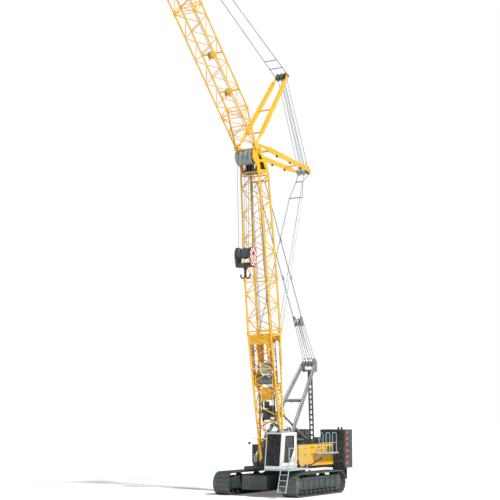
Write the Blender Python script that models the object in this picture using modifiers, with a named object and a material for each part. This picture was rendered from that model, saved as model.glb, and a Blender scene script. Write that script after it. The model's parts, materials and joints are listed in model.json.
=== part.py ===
"""Crawler crane with a lattice boom and a luffing jib, as separate named sub-parts.

Everything is modelled in metres with +Z up, the crane facing -Y and its cab on the +X side.
Heights are written above the ground on the slewing axis, and one root empty then lowers the
whole crane so that its origin lies on the flat underside of the car body.
Points in the side view are (y, z) pairs, and a "side frame" is a frame whose +Z runs along
a member, +X stays across the crane and +Y is the member's rear or upper side.
"""

import math

import bmesh
import bpy
from mathutils import Matrix, Vector

# ---------------------------------------------------------------- driving dimensions
FIT_GAP = 0.0003  # between pieces that touch
PIN_GAP = 0.0004  # between a pin and its bore, all round

# tracks and car body
TRACK_GAUGE = 4.29
TRACK_LENGTH = 6.13
TRACK_HEIGHT = 1.30
SHOE_WIDTH = 0.963
SHOE_COUNT = 50
BELT_THICKNESS = 0.12
SHOE_GAP = 0.035
SHOE_GAP_DEPTH = 0.035
TRACK_FRAME_WIDTH = 0.72
ROLLER_RADIUS = 0.13
ROLLER_COUNT = 9
BELLY_HEIGHT = 0.40
CAR_BODY_WIDTH = 2.10
CAR_BODY_TOP = 1.15
CROSS_BEAM_OFFSET = 0.78
CROSS_BEAM_DEPTH = 0.50
BALLAST_WIDTH = 1.57
BALLAST_FRONT = 2.95
BALLAST_LENGTH = 1.55
BALLAST_BOTTOM = 0.37
BALLAST_TOP = 1.13
RING_RADIUS = 0.85
RING_TOP = 1.30

# superstructure
DECK_BOTTOM = 1.40
DECK_TOP = 1.56
DECK_HALF_WIDTH = 1.40
DECK_FRONT = -1.70
DECK_REAR = 3.75
HOUSE_OUTER = 1.50
HOUSE_TOP = 2.76
HOUSE_INNER = 1.00
HOUSE_REAR = 3.70
HOUSE_WALL = 0.03
LEFT_HOUSE_FRONT = -0.55
RIGHT_HOUSE_FRONT = -0.80
HOUSE_CORNER = 0.32
COUNTERWEIGHT_FRONT = 3.85
COUNTERWEIGHT_REAR = 4.88
COUNTERWEIGHT_INNER = 0.60
COUNTERWEIGHT_OUTER = 2.20
COUNTERWEIGHT_BOTTOM = 1.46
SLAB_HEIGHT = 0.355
SLAB_COUNT = 6
SLAB_GROOVE = 0.02

# cab
CAB_INNER = 0.95
CAB_WIDTH = 0.962
CAB_FRONT = -3.50
CAB_REAR = -1.60
CAB_BOTTOM = DECK_TOP + FIT_GAP
CAB_HEIGHT = 1.92
WINDSCREEN_LEAN = 0.27
CAB_WALL = 0.05
GLASS_THICKNESS = 0.012
DOOR_FRONT = -3.22
DOOR_REAR = -1.95
DOOR_THICKNESS = 0.045
DOOR_SILL = 1.72
DOOR_HEAD = 3.36
DOOR_TRAVEL = 0.60
PLATFORM_OUTER = 2.60
PLATFORM_FRONT = -3.72
PLATFORM_REAR = -1.45
PLATFORM_TOP = DECK_TOP
PLATFORM_THICKNESS = 0.09
RAIL_HEIGHT = 1.10
LADDER_LEFT = 2.06
LADDER_WIDTH = 0.50
LADDER_BOTTOM = 0.32
LADDER_REACH = 0.36

# boom, with its foot pin, its lean and its sections
BOOM_FOOT = (-0.971, 1.876)
BOOM_ANGLE = 83.14
BOOM_WIDTH = 1.45
BOOM_DEPTH = 1.09
BOOM_TOP_WIDTH = 1.16
FOOT_LENGTH = 7.21
SHORT_INSERT = 3.0
LONG_INSERT = 6.0
CHORD_RADIUS = 0.055
LACE_RADIUS = 0.026
CHORD_SIDES = 6
LACE_SIDES = 3
LACE_INSET = 0.10
TRIM = 0.03  # length that is squared off at each end of a section
PIN_SIDES = 16
BOOM_PIN_RADIUS = 0.05
BOSS_RADIUS = 0.13

# luffing jib and its two masts
JIB_ANGLE = 43.6
JIB_FORWARD = 0.80
JIB_PIN_STATION = 1.445
JIB_WIDTH = 1.30
JIB_DEPTH = 0.80
JIB_FOOT_LENGTH = 2.10
JIB_INSERT_LENGTH = 13.2
JIB_HEAD_LENGTH = 2.6
JIB_CHORD_RADIUS = 0.045
JIB_LACE_RADIUS = 0.022
FRONT_MAST_FOOT = (-3.58, 19.60)
FRONT_MAST_TIP = (0.40, 24.50)
REAR_MAST_FOOT = (-3.57, 19.44)
REAR_MAST_END = (3.06, 19.17)
REAR_MAST_FOOT_X = 0.74
FRONT_MAST_FOOT_X = 0.55
MAST_TUBE = 0.07

# gantry and rigging
GANTRY_TOP = (3.67, 7.55)
GANTRY_FOOT = (-1.30, 1.99)
GANTRY_MIDDLE = (1.65, 5.25)
GANTRY_FOOT_X = 0.90
GANTRY_TOP_X = 0.42
PENDANT_HEAD_STATION = 15.80
PENDANT_X = 0.27
PENDANT_RADIUS = 0.025
FLOATING_BLOCK = (2.31, 9.95)
STAY_RADIUS = 0.022
BACKSTOP_FOOT = (2.21, 2.97)
BACKSTOP_HEAD = (-1.00, 4.61)
BACKSTOP_X = 0.54
EYE_HALF = 0.065

# hooks
HOOK_Y = -3.92
HEAD_SHEAVE_HEIGHT = 18.75
HEAD_SHEAVE_RADIUS = 0.45
HOOK_BLOCK_BOTTOM = 12.43
HOOK_BLOCK_TOP = 13.69
HOOK_BLOCK_HALF_WIDTH = 0.50
BALL_HOOK_DROP = 2.6

# finishes: base colour, roughness, metallic
FINISHES = {
    "yellow": ((0.93, 0.55, 0.05), 0.40, 0.0),
    "dark_green": ((0.12, 0.15, 0.14), 0.55, 0.0),
    "shoe_grey": ((0.22, 0.25, 0.24), 0.60, 0.6),
    "off_white": ((0.86, 0.84, 0.79), 0.35, 0.0),
    "light_grey": ((0.52, 0.60, 0.62), 0.45, 0.0),
    "steel_grey": ((0.40, 0.43, 0.43), 0.45, 0.5),
    "black": ((0.03, 0.03, 0.035), 0.50, 0.0),
    "glass": ((0.05, 0.06, 0.07), 0.05, 0.0),
}

# ---------------------------------------------------------------- modelling helpers
for old in list(bpy.data.objects):
    bpy.data.objects.remove(old, do_unlink=True)

CRANE = bpy.data.collections.new("crawler_crane")
CUTTERS = bpy.data.collections.new("cutters")
for collection in (CRANE, CUTTERS):
    bpy.context.scene.collection.children.link(collection)
CUTTERS.hide_render = True

MATERIALS = {}
for finish_name, (colour, roughness, metallic) in FINISHES.items():
    material = bpy.data.materials.new(finish_name)
    material.use_nodes = True
    shader = material.node_tree.nodes["Principled BSDF"]
    shader.inputs["Base Color"].default_value = (*colour, 1.0)
    shader.inputs["Roughness"].default_value = roughness
    shader.inputs["Metallic"].default_value = metallic
    MATERIALS[finish_name] = material

UPRIGHT = Matrix.Identity(4)
ACROSS = {
    "x": Matrix(((0, 0, 1, 0), (1, 0, 0, 0), (0, 1, 0, 0), (0, 0, 0, 1))),
    "y": Matrix(((1, 0, 0, 0), (0, 0, -1, 0), (0, 1, 0, 0), (0, 0, 0, 1))),
    "z": UPRIGHT,
}


def side_frame(start, end):
    """The frame at start whose +Z runs to end, both (y, z) points; +X stays across."""
    lean = math.atan2(start[0] - end[0], end[1] - start[1])
    return Matrix.Translation((0, *start)) @ Matrix.Rotation(lean, 4, "X")


def distance(start, end):
    return math.hypot(end[0] - start[0], end[1] - start[1])


def between(start, end, share):
    """The point at this share of the way from start to end."""
    return tuple(a + share * (b - a) for a, b in zip(start, end))


def mesh_of(shape):
    mesh = bpy.data.meshes.new("solid")
    shape.to_mesh(mesh)
    shape.free()
    return mesh


def box(low, high, frame=UPRIGHT):
    """A box between two corners of a frame."""
    low, high = Vector(low), Vector(high)
    place = Matrix.Translation((low + high) / 2) @ Matrix.Diagonal((*(high - low), 1))
    shape = bmesh.new()
    bmesh.ops.create_cube(shape, size=1.0, matrix=frame @ place)
    return mesh_of(shape)


def rod(start, end, radius, sides=8, frame=UPRIGHT):
    """A straight round bar between two points of a frame."""
    start, end = frame @ Vector(start), frame @ Vector(end)
    along = end - start
    turn = along.to_track_quat("Z", "Y").to_matrix().to_4x4()
    shape = bmesh.new()
    bmesh.ops.create_cone(
        shape, cap_ends=True, segments=sides, radius1=radius, radius2=radius,
        depth=along.length, matrix=Matrix.Translation((start + end) / 2) @ turn,
    )
    return mesh_of(shape)


def cross_rod(point, half_length, radius, sides=16, frame=UPRIGHT, middle=0.0):
    """A round bar across the crane, through a (y, z) point of a frame."""
    return rod((middle - half_length, *point), (middle + half_length, *point), radius, sides, frame)


def from_curve(curve):
    """The closed mesh of a curve, with its loose caps welded on."""
    holder = bpy.data.objects.new("curve", curve)
    CUTTERS.objects.link(holder)
    seen = holder.evaluated_get(bpy.context.evaluated_depsgraph_get())
    mesh = bpy.data.meshes.new_from_object(seen)
    bpy.data.objects.remove(holder)
    shape = bmesh.new()
    shape.from_mesh(mesh)
    bmesh.ops.remove_doubles(shape, verts=shape.verts, dist=0.00002)
    shape.to_mesh(mesh)
    shape.free()
    return mesh


def add_spline(curve, points, closed):
    spline = curve.splines.new("POLY")
    spline.points.add(len(points) - 1)
    spline.use_cyclic_u = closed
    for knot, point in zip(spline.points, points):
        knot.co = (*point, *([0.0] * (3 - len(point))), 1.0)


def pipe(points, radius, resolution=1, frame=UPRIGHT):
    """A bent round bar through points of a frame."""
    curve = bpy.data.curves.new("pipe", "CURVE")
    curve.dimensions = "3D"
    curve.bevel_depth = radius
    curve.bevel_resolution = resolution
    curve.use_fill_caps = True
    add_spline(curve, points, closed=False)
    mesh = from_curve(curve)
    mesh.transform(frame)
    return mesh


def plate(outline, low, high, across="x", holes=(), frame=UPRIGHT):
    """A flat outline, (y, z) across x, (x, z) across y or (x, y) across z, made thick."""
    curve = bpy.data.curves.new("plate", "CURVE")
    curve.dimensions = "2D"
    curve.fill_mode = "BOTH"
    curve.extrude = (high - low) / 2
    for loop in (outline, *holes):
        add_spline(curve, loop, closed=True)
    mesh = from_curve(curve)
    sign = -1 if across == "y" else 1
    middle = Matrix.Translation((0, 0, sign * (low + high) / 2))
    mesh.transform(frame @ ACROSS[across] @ middle)
    return mesh


def arc(centre, radius, first, last, steps):
    """Points of a round corner, by angles in degrees."""
    turns = [math.radians(first + (last - first) * i / steps) for i in range(steps + 1)]
    return [(centre[0] + radius * math.cos(a), centre[1] + radius * math.sin(a)) for a in turns]


def turned(profile, point, middle=0.0, steps=24, frame=UPRIGHT):
    """A round piece turned about the cross axis through a (y, z) point.

    The profile's (x, radius) pairs run from its +X end to its -X end.
    """
    mesh = bpy.data.meshes.new("turned")
    ends = [(profile[0][0], 0.0), *profile, (profile[-1][0], 0.0)]
    mesh.from_pydata(
        [(radius, 0, x) for x, radius in ends],
        [(i, i + 1) for i in range(len(ends) - 1)], [],
    )
    holder = bpy.data.objects.new("turned", mesh)
    CUTTERS.objects.link(holder)
    screw = holder.modifiers.new("turn", "SCREW")
    screw.steps = screw.render_steps = steps
    screw.use_merge_vertices = True
    screw.merge_threshold = 0.00005
    seen = holder.evaluated_get(bpy.context.evaluated_depsgraph_get())
    solid = bpy.data.meshes.new_from_object(seen)
    bpy.data.objects.remove(holder)
    solid.transform(frame @ Matrix.Translation((middle, *point)) @ Matrix.Rotation(math.pi / 2, 4, "Y"))
    return solid


def joined(solids):
    shape = bmesh.new()
    for solid in solids:
        shape.from_mesh(solid)
    return mesh_of(shape)


def mirrored(solids):
    """Copies of solids on the crane's other side."""
    copies = []
    for solid in solids:
        copy = solid.copy()
        copy.transform(Matrix.Diagonal((-1, 1, 1, 1)))
        copy.flip_normals()
        copies.append(copy)
    return copies


def both_sides(solids):
    return [*solids, *mirrored(solids)]


def bore_radius(pin_radius, sides):
    """The bore whose flats clear the pin's corners by the pin gap."""
    return (pin_radius + PIN_GAP) / math.cos(math.pi / sides)


def new_object(name, mesh, home, carrier):
    empty, frame = carrier
    mesh.transform(frame.inverted())
    obj = bpy.data.objects.new(name, mesh)
    obj.parent = empty
    home.objects.link(obj)
    return obj


def piece(name, solids, finish, carrier, cuts=(), smooth=False):
    """One named sub-part: its first solid, fused with the others, then cut."""
    first, *others = solids
    obj = new_object(name, first.copy(), CRANE, carrier)
    obj.data.name = name
    for label, operation, group in (("fuse", "UNION", others), ("cut", "DIFFERENCE", cuts)):
        if not group:
            continue
        tool = new_object(f"{name}_{label}", joined(group), CUTTERS, carrier)
        tool.hide_render = True
        tool.display_type = "WIRE"
        step = obj.modifiers.new(label, "BOOLEAN")
        step.operation = operation
        step.object = tool
        step.solver = "EXACT"
        step.use_self = True
    obj.data.materials.clear()
    obj.data.materials.append(MATERIALS[finish])
    if smooth:
        obj.data.shade_smooth()
        obj.data.set_sharp_from_angle(angle=math.radians(35))
    return obj


def carrier(name, frame, parent=None):
    """An empty that carries the pieces of one moving body, on its joint."""
    empty = bpy.data.objects.new(name, None)
    CRANE.objects.link(empty)
    if parent:
        empty.parent = parent[0]
        empty.matrix_basis = parent[1].inverted() @ frame
    else:
        empty.matrix_basis = Matrix.Translation((0, 0, -BELLY_HEIGHT)) @ frame
    return empty, frame


def at(x, y, z):
    return Matrix.Translation((x, y, z))


# ---------------------------------------------------------------- frames and bodies
BOOM_LEAN = math.radians(90 - BOOM_ANGLE)
JIB_LEAN = math.radians(90 - JIB_ANGLE)
BOOM = at(0, *BOOM_FOOT) @ Matrix.Rotation(BOOM_LEAN, 4, "X")
INSERT_START = FOOT_LENGTH + SHORT_INSERT
HEAD_START = INSERT_START + LONG_INSERT
JIB_PIN = BOOM @ Vector((0, -JIB_FORWARD, HEAD_START + JIB_PIN_STATION))
JIB = Matrix.Translation(JIB_PIN) @ Matrix.Rotation(JIB_LEAN, 4, "X")
JIB_LENGTH = JIB_FOOT_LENGTH + JIB_INSERT_LENGTH + JIB_HEAD_LENGTH
JIB_HEAD_PIN = JIB @ Vector((0, -0.16, JIB_LENGTH - 0.26))
PENDANT_HEAD = BOOM @ Vector((0, BOOM_DEPTH / 2 + 0.10, PENDANT_HEAD_STATION))

undercarriage = carrier("undercarriage", UPRIGHT)
slew = carrier("slew_axis", at(0, 0, RING_TOP), undercarriage)
door_slide = carrier("cab_door_slide", at(CAB_INNER + CAB_WIDTH, DOOR_REAR, DOOR_SILL), slew)
boom_hinge = carrier("boom_foot_pin", BOOM, slew)
jib_hinge = carrier("jib_foot_pin", JIB, boom_hinge)


# ---------------------------------------------------------------- undercarriage
def track_outline():
    """The belt's outer edge, with a notch between neighbouring shoes, and its inner edge."""
    radius = TRACK_HEIGHT / 2
    straight = TRACK_LENGTH - TRACK_HEIGHT
    loop = 2 * straight + 2 * math.pi * radius

    def on_loop(travel, inset):
        travel %= loop
        half_turn = math.pi * radius
        if travel < straight:
            return (-straight / 2 + travel, inset)
        travel -= straight
        if travel < half_turn:
            turn = travel / radius - math.pi / 2
            reach = radius - inset
            return (straight / 2 + reach * math.cos(turn), radius + reach * math.sin(turn))
        travel -= half_turn
        if travel < straight:
            return (straight / 2 - travel, TRACK_HEIGHT - inset)
        turn = (travel - straight) / radius + math.pi / 2
        reach = radius - inset
        return (-straight / 2 + reach * math.cos(turn), radius + reach * math.sin(turn))

    pitch = loop / SHOE_COUNT
    outer, inner = [], []
    for i in range(SHOE_COUNT):
        start = i * pitch
        for travel, inset in (
            (start, SHOE_GAP_DEPTH), (start + SHOE_GAP / 2, 0.0), (start + pitch - SHOE_GAP / 2, 0.0),
        ):
            outer.append(on_loop(travel, inset))
        inner.append(on_loop(start, BELT_THICKNESS))
    return outer, inner


def roller_positions():
    reach = TRACK_LENGTH / 2 - TRACK_HEIGHT + 0.30
    return [-reach + 2 * reach * i / (ROLLER_COUNT - 1) for i in range(ROLLER_COUNT)]


def track(side, name):
    """One closed belt of shoes round its rollers."""
    outer, inner = track_outline()
    middle = side * TRACK_GAUGE / 2
    belt = plate(outer, middle - SHOE_WIDTH / 2, middle + SHOE_WIDTH / 2, holes=[inner])
    piece(name, [belt], "shoe_grey", undercarriage)


def track_frame(side, name):
    """The side frame with its rollers, its front idler and its rear sprocket."""
    middle = side * TRACK_GAUGE / 2
    half = TRACK_FRAME_WIDTH / 2
    end_y = (TRACK_LENGTH - TRACK_HEIGHT) / 2
    wheel = TRACK_HEIGHT / 2 - BELT_THICKNESS - 0.012
    roller_z = BELT_THICKNESS + ROLLER_RADIUS + FIT_GAP
    beam = plate(
        [(-end_y + 0.10, 0.38), (end_y - 0.10, 0.38), (end_y - 0.10, 0.90), (end_y - 0.45, 1.04),
         (-end_y + 0.45, 1.04), (-end_y + 0.10, 0.90)],
        middle - half, middle + half,
    )
    solids = [beam]
    for end in (-1, 1):
        hub = [(0.24, wheel - 0.14), (0.10, wheel), (-0.10, wheel), (-0.24, wheel - 0.14)]
        solids.append(turned(hub, (end * end_y, TRACK_HEIGHT / 2), middle, steps=16))
    for y in roller_positions():
        solids.append(cross_rod((y, roller_z), 0.24, ROLLER_RADIUS, 8, middle=middle))
    for y in (-1.0, 1.0):
        top = TRACK_HEIGHT - BELT_THICKNESS - 0.09 - 0.01
        solids.append(cross_rod((y, top), 0.16, 0.09, 8, middle=middle))
    piece(name, solids, "dark_green", undercarriage)


def car_body():
    """The box under the slewing ring, with its two cross beams and ballast brackets."""
    half = CAR_BODY_WIDTH / 2
    inner_face = TRACK_GAUGE / 2 - TRACK_FRAME_WIDTH / 2 - FIT_GAP
    solids = [box((-half, -1.05, BELLY_HEIGHT), (half, 1.05, CAR_BODY_TOP))]
    for side in (-1, 1):
        middle = side * CROSS_BEAM_OFFSET
        arms = [(-inner_face, 0.46), (inner_face, 0.46), (inner_face, 0.96), (half, 1.10),
                (-half, 1.10), (-inner_face, 0.96)]
        low, high = middle - CROSS_BEAM_DEPTH / 2, middle + CROSS_BEAM_DEPTH / 2
        solids.append(plate(arms, low, high, across="y"))
        reach = side * (BALLAST_FRONT - BALLAST_LENGTH - FIT_GAP)
        low_y, high_y = sorted((side * 1.0, reach))
        solids.append(box((-0.55, low_y, 0.50), (0.55, high_y, 1.0)))
    solids.append(rod((0, 0, CAR_BODY_TOP - 0.05), (0, 0, RING_TOP - 0.07), RING_RADIUS + 0.08, 24))
    piece("car_body", solids, "dark_green", undercarriage)
    piece(
        "slewing_ring",
        [rod((0, 0, RING_TOP - 0.07 + FIT_GAP), (0, 0, RING_TOP - FIT_GAP), RING_RADIUS, 24)],
        "steel_grey", undercarriage,
    )


def ballast(side, name):
    """A block between the tracks with two lifting eyes on top."""
    inner, outer = sorted((side * (BALLAST_FRONT - BALLAST_LENGTH), side * BALLAST_FRONT))
    half = BALLAST_WIDTH / 2
    solids = [box((-half, inner, BALLAST_BOTTOM), (half, outer, BALLAST_TOP))]
    for x in (-0.45, 0.45):
        y = side * (BALLAST_FRONT - 0.25)
        solids.append(box((x - 0.03, y - 0.10, BALLAST_TOP - 0.02),
                          (x + 0.03, y + 0.10, BALLAST_TOP + 0.10)))
    piece(name, solids, "dark_green", undercarriage)


# ---------------------------------------------------------------- superstructure
def lug_faces():
    """The inner and outer side of the frame lugs, just inside the boom's foot bosses."""
    boss_inner = BOOM_WIDTH / 2 - 0.06
    return boss_inner - 0.08, boss_inner - 0.0005


def main_frame():
    """The deck with its girders, boom lugs and pins, winch stands and backstop posts."""
    solids = [
        box((-DECK_HALF_WIDTH, DECK_FRONT, DECK_BOTTOM), (DECK_HALF_WIDTH, DECK_REAR, DECK_TOP)),
        rod((0, 0, RING_TOP + FIT_GAP), (0, 0, DECK_BOTTOM + 0.02), RING_RADIUS + 0.05, 24),
        box((-0.45, DECK_REAR - 0.05, DECK_BOTTOM), (0.45, COUNTERWEIGHT_REAR, DECK_TOP)),
    ]
    inner, outer = lug_faces()
    y, z = BOOM_FOOT
    lug = [(y - 0.34, DECK_TOP - 0.02), (y + 0.34, DECK_TOP - 0.02),
           *arc((y, z), 0.13, 20, 160, 4)]
    side = [
        plate(lug, inner, outer),
        rod((inner + 0.02, y, z), (BOOM_WIDTH / 2 + 0.075, y, z), BOOM_PIN_RADIUS, PIN_SIDES),
        box((GANTRY_FOOT_X - 0.06, GANTRY_FOOT[0] - 0.13, DECK_TOP - 0.02),
            (GANTRY_FOOT_X + 0.06, GANTRY_FOOT[0] + 0.13, GANTRY_FOOT[1] - 0.19)),
        box((0.57, -0.10, DECK_TOP - 0.02), (0.62, 3.40, 1.95)),
    ]
    for drum_y, drum_z, _ in DRUMS:
        side.append(plate([(drum_y - 0.30, 1.90), (drum_y + 0.30, 1.90), (drum_y + 0.14, drum_z + 0.16),
                           (drum_y - 0.14, drum_z + 0.16)], 0.57, 0.62))
    foot_y, foot_z = BACKSTOP_FOOT
    side.append(plate([(foot_y - 0.30, DECK_TOP - 0.02), (foot_y + 0.45, DECK_TOP - 0.02),
                       *arc((foot_y, foot_z), 0.11, 10, 170, 4)],
                      BACKSTOP_X + 0.115, BACKSTOP_X + 0.165))
    solids += both_sides(side)
    cuts = [cross_rod((drum_y, drum_z), 1.0, bore_radius(DRUM_SHAFT, 12), 12)
            for drum_y, drum_z, _ in DRUMS]
    cuts.append(cross_rod(BACKSTOP_FOOT, 1.0, bore_radius(0.05, 16), 16))
    cuts.append(cross_rod(BOOM_FOOT, inner + 0.01, BOOM_PIN_RADIUS + 0.01, 16))
    piece("main_frame", solids, "dark_green", slew, cuts=cuts)


DRUM_SHAFT = 0.06
HUB_RADIUS = 0.10
DRUMS = ((0.45, 2.12, "main_hoist_drum"), (1.38, 2.12, "jib_hoist_drum"), (2.75, 2.12, "boom_luffing_drum"))


def winch_drum(y, z, name, body, half=0.50, radius=0.36, stand=0.57, frame=UPRIGHT):
    """A rope drum between two flanges, whose shaft turns in its stands, a hub on each side."""
    core = radius - 0.10
    side = [(stand + 0.04, DRUM_SHAFT), (stand - FIT_GAP, DRUM_SHAFT), (stand - FIT_GAP, HUB_RADIUS),
            (half, HUB_RADIUS), (half, radius), (half - 0.04, radius), (half - 0.04, core)]
    profile = side + [(-x, r) for x, r in reversed(side)]
    piece(name, [turned(profile, (y, z), steps=12, frame=frame)], "steel_grey", body, smooth=True)


def house_outline(front, low=DECK_TOP + FIT_GAP):
    """The side view of a machinery house, with its front lower corner rounded."""
    corner = (front + HOUSE_CORNER, low + HOUSE_CORNER)
    return [*arc(corner, HOUSE_CORNER, 270, 180, 4), (front, HOUSE_TOP), (HOUSE_REAR, HOUSE_TOP),
            (HOUSE_REAR, low)]


def machinery_house(side, front, outer, name, finish):
    """A closed housing of sheet panels, open below to the deck."""
    low, high = sorted((side * HOUSE_INNER, side * outer))
    shell = plate(house_outline(front), low, high)
    hollow = box((low + HOUSE_WALL, front + HOUSE_CORNER + 0.03, DECK_TOP - 0.10),
                 (high - HOUSE_WALL, HOUSE_REAR - HOUSE_WALL, HOUSE_TOP - HOUSE_WALL))
    piece(name, [shell], finish, slew, cuts=[hollow])


def engine():
    low, high = -1.36, -1.04
    piece("engine_block", [box((low, 0.9, DECK_TOP + FIT_GAP), (high, 2.6, 2.55))], "black", slew)


def counterweights():
    """A tray and two stacks of slabs, left and right of the gantry strut."""
    outer, front, rear = COUNTERWEIGHT_OUTER, COUNTERWEIGHT_FRONT, COUNTERWEIGHT_REAR
    low = COUNTERWEIGHT_BOTTOM
    tray = [
        box((-outer, front + 0.03, DECK_BOTTOM - 0.06), (outer, rear, DECK_BOTTOM - FIT_GAP)),
        box((0.95, rear - 0.12, 0.66), (1.85, rear, DECK_BOTTOM - 0.01)),
        box((-1.85, rear - 0.12, 0.66), (-0.95, rear, DECK_BOTTOM - 0.01)),
        box((0.55, front + 0.03, DECK_BOTTOM - 0.02), (outer, rear, low - FIT_GAP)),
        box((-outer, front + 0.03, DECK_BOTTOM - 0.02), (-0.55, rear, low - FIT_GAP)),
    ]
    piece("counterweight_tray", tray, "dark_green", slew)
    for side, name in ((1, "counterweight_left"), (-1, "counterweight_right")):
        solids = []
        for i in range(SLAB_COUNT):
            z = low + i * SLAB_HEIGHT
            inner_x, outer_x = sorted((side * COUNTERWEIGHT_INNER, side * outer))
            solids.append(box((inner_x, front, z), (outer_x, rear, z + SLAB_HEIGHT - SLAB_GROOVE)))
        top = low + SLAB_COUNT * SLAB_HEIGHT
        inner_x, outer_x = sorted((side * (COUNTERWEIGHT_INNER + 0.02), side * (outer - 0.02)))
        solids.append(box((inner_x, front + 0.02, low + 0.05), (outer_x, rear - 0.02, top - 0.05)))
        for y in (front + 0.30, rear - 0.30):
            x = side * (outer - 0.55)
            solids.append(box((x - 0.05, y - 0.03, top - 0.05), (x + 0.05, y + 0.03, top + 0.12)))
        piece(name, solids, "dark_green", slew)


GANTRY = side_frame(GANTRY_FOOT, GANTRY_TOP)
GANTRY_LENGTH = distance(GANTRY_FOOT, GANTRY_TOP)
GANTRY_HEAD_BEAM = (GANTRY_TOP[0] + 0.05, GANTRY_TOP[1] - 0.48)
GANTRY_PIN = 0.05


def gantry():
    """Two leaning legs with a cross beam, and a head that holds the upper sheaves."""
    foot = Vector((GANTRY_FOOT_X, 0, 0.0))
    top = Vector((GANTRY_TOP_X, 0, GANTRY_LENGTH - 0.12))
    turn = math.atan2(foot.x - top.x, top.z)
    leg_frame = GANTRY @ Matrix.Translation(foot) @ Matrix.Rotation(-turn, 4, "Y")
    y, z = GANTRY_TOP
    beam_y, beam_z = GANTRY_HEAD_BEAM
    side = [
        box((-0.055, -0.085, -0.04), (0.055, 0.085, (top - foot).length), leg_frame),
        plate([(y - 0.30, z - 0.28), (beam_y - 0.09, beam_z - 0.08), (beam_y + 0.09, beam_z - 0.08),
               *arc((y, z), 0.14, 0, 150, 5)], GANTRY_TOP_X - 0.04, GANTRY_TOP_X + 0.02),
        box((GANTRY_FOOT_X - 0.06, GANTRY_FOOT[0] - 0.11, GANTRY_FOOT[1] - 0.19 + FIT_GAP),
            (GANTRY_FOOT_X + 0.06, GANTRY_FOOT[0] + 0.11, GANTRY_FOOT[1] + 0.06)),
    ]
    middle = distance(GANTRY_FOOT, GANTRY_MIDDLE)
    middle_x = GANTRY_FOOT_X + (GANTRY_TOP_X - GANTRY_FOOT_X) * middle / GANTRY_LENGTH
    solids = both_sides(side)
    solids += [
        box((-middle_x, -0.06, middle - 0.06), (middle_x, 0.06, middle + 0.06), GANTRY),
        cross_rod((0.16, middle + 0.10), 0.30, 0.06, 12, GANTRY),
        box((0.22, 0.0, middle - 0.02), (0.26, 0.18, middle + 0.12), GANTRY),
        box((-0.26, 0.0, middle - 0.02), (-0.22, 0.18, middle + 0.12), GANTRY),
        box((-GANTRY_TOP_X, beam_y - 0.06, beam_z - 0.06), (GANTRY_TOP_X, beam_y + 0.06, beam_z + 0.06)),
        cross_rod(GANTRY_TOP, GANTRY_TOP_X + 0.05, GANTRY_PIN, 16),
    ]
    piece("gantry_legs", solids, "steel_grey", slew)


def gantry_strut():
    """The pierced strap that ties the gantry's head down to the rear of the deck."""
    top = (GANTRY_HEAD_BEAM[0], GANTRY_HEAD_BEAM[1] - 0.06 - FIT_GAP)
    foot = (3.98, DECK_TOP + FIT_GAP)
    frame = side_frame(foot, top)
    length = distance(foot, top)
    count = 17
    pitch = (length - 0.30) / count
    holes = []
    for i in range(count):
        low = 0.15 + i * pitch + 0.05
        holes.append([(-0.075, low), (-0.075, low + pitch - 0.10), (0.075, low + pitch - 0.10),
                      (0.075, low)])
    strap = [(-0.14, -0.05), (0.14, -0.05), (0.14, length + 0.05), (-0.14, length + 0.05)]
    cuts = [box((-0.5, foot[0] - 0.5, foot[1] - 0.5), (0.5, foot[0] + 0.5, foot[1])),
            box((-0.5, top[0] - 0.5, top[1]), (0.5, top[0] + 0.5, top[1] + 0.5))]
    piece("gantry_strut", [plate(strap, -0.04, 0.04, "y", holes, frame)], "dark_green", slew, cuts=cuts)


# ---------------------------------------------------------------- cab
CAB_OUTER = CAB_INNER + CAB_WIDTH
CAB_TOP = CAB_BOTTOM + CAB_HEIGHT
CAB_SLOPE = WINDSCREEN_LEAN / CAB_HEIGHT


def windscreen_y(z, inset=0.0):
    """The y of the leaning windscreen plane at a height, set back by the inset."""
    return CAB_FRONT + (z - CAB_BOTTOM) * CAB_SLOPE + inset


def cab_side(inset=0.0, low=CAB_BOTTOM, high=CAB_TOP):
    low, high = low + inset, high - inset
    return [(windscreen_y(low, inset), low), (windscreen_y(high, inset), high),
            (CAB_REAR - inset, high), (CAB_REAR - inset, low)]


def sloped(low, high, rear, inset=0.0):
    """A side outline whose front edge follows the windscreen."""
    return [(windscreen_y(low, inset), low), (windscreen_y(high, inset), high), (rear, high), (rear, low)]


DOOR_WINDOW = [(-3.13, 1.90), (-2.94, 3.29), (-2.02, 3.29), (-2.02, 2.62), (-2.50, 1.90)]
SIDE_WINDOW = [(-2.95, 2.25), (-2.85, 3.22), (-1.85, 3.22), (-1.85, 2.25)]


def shrunk(outline, gap):
    """A convex outline, listed clockwise, with each edge moved inwards by the gap."""
    lines = []
    for (y0, z0), (y1, z1) in zip(outline, outline[1:] + outline[:1]):
        length = math.hypot(y1 - y0, z1 - z0)
        normal = ((z1 - z0) / length, (y0 - y1) / length)
        lines.append((normal, normal[0] * y0 + normal[1] * z0 + gap))
    points = []
    for (n0, d0), (n1, d1) in zip(lines[-1:] + lines[:-1], lines):
        across = n0[0] * n1[1] - n0[1] * n1[0]
        points.append(((d0 * n1[1] - d1 * n0[1]) / across, (d1 * n0[0] - d0 * n1[0]) / across))
    return points


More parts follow.
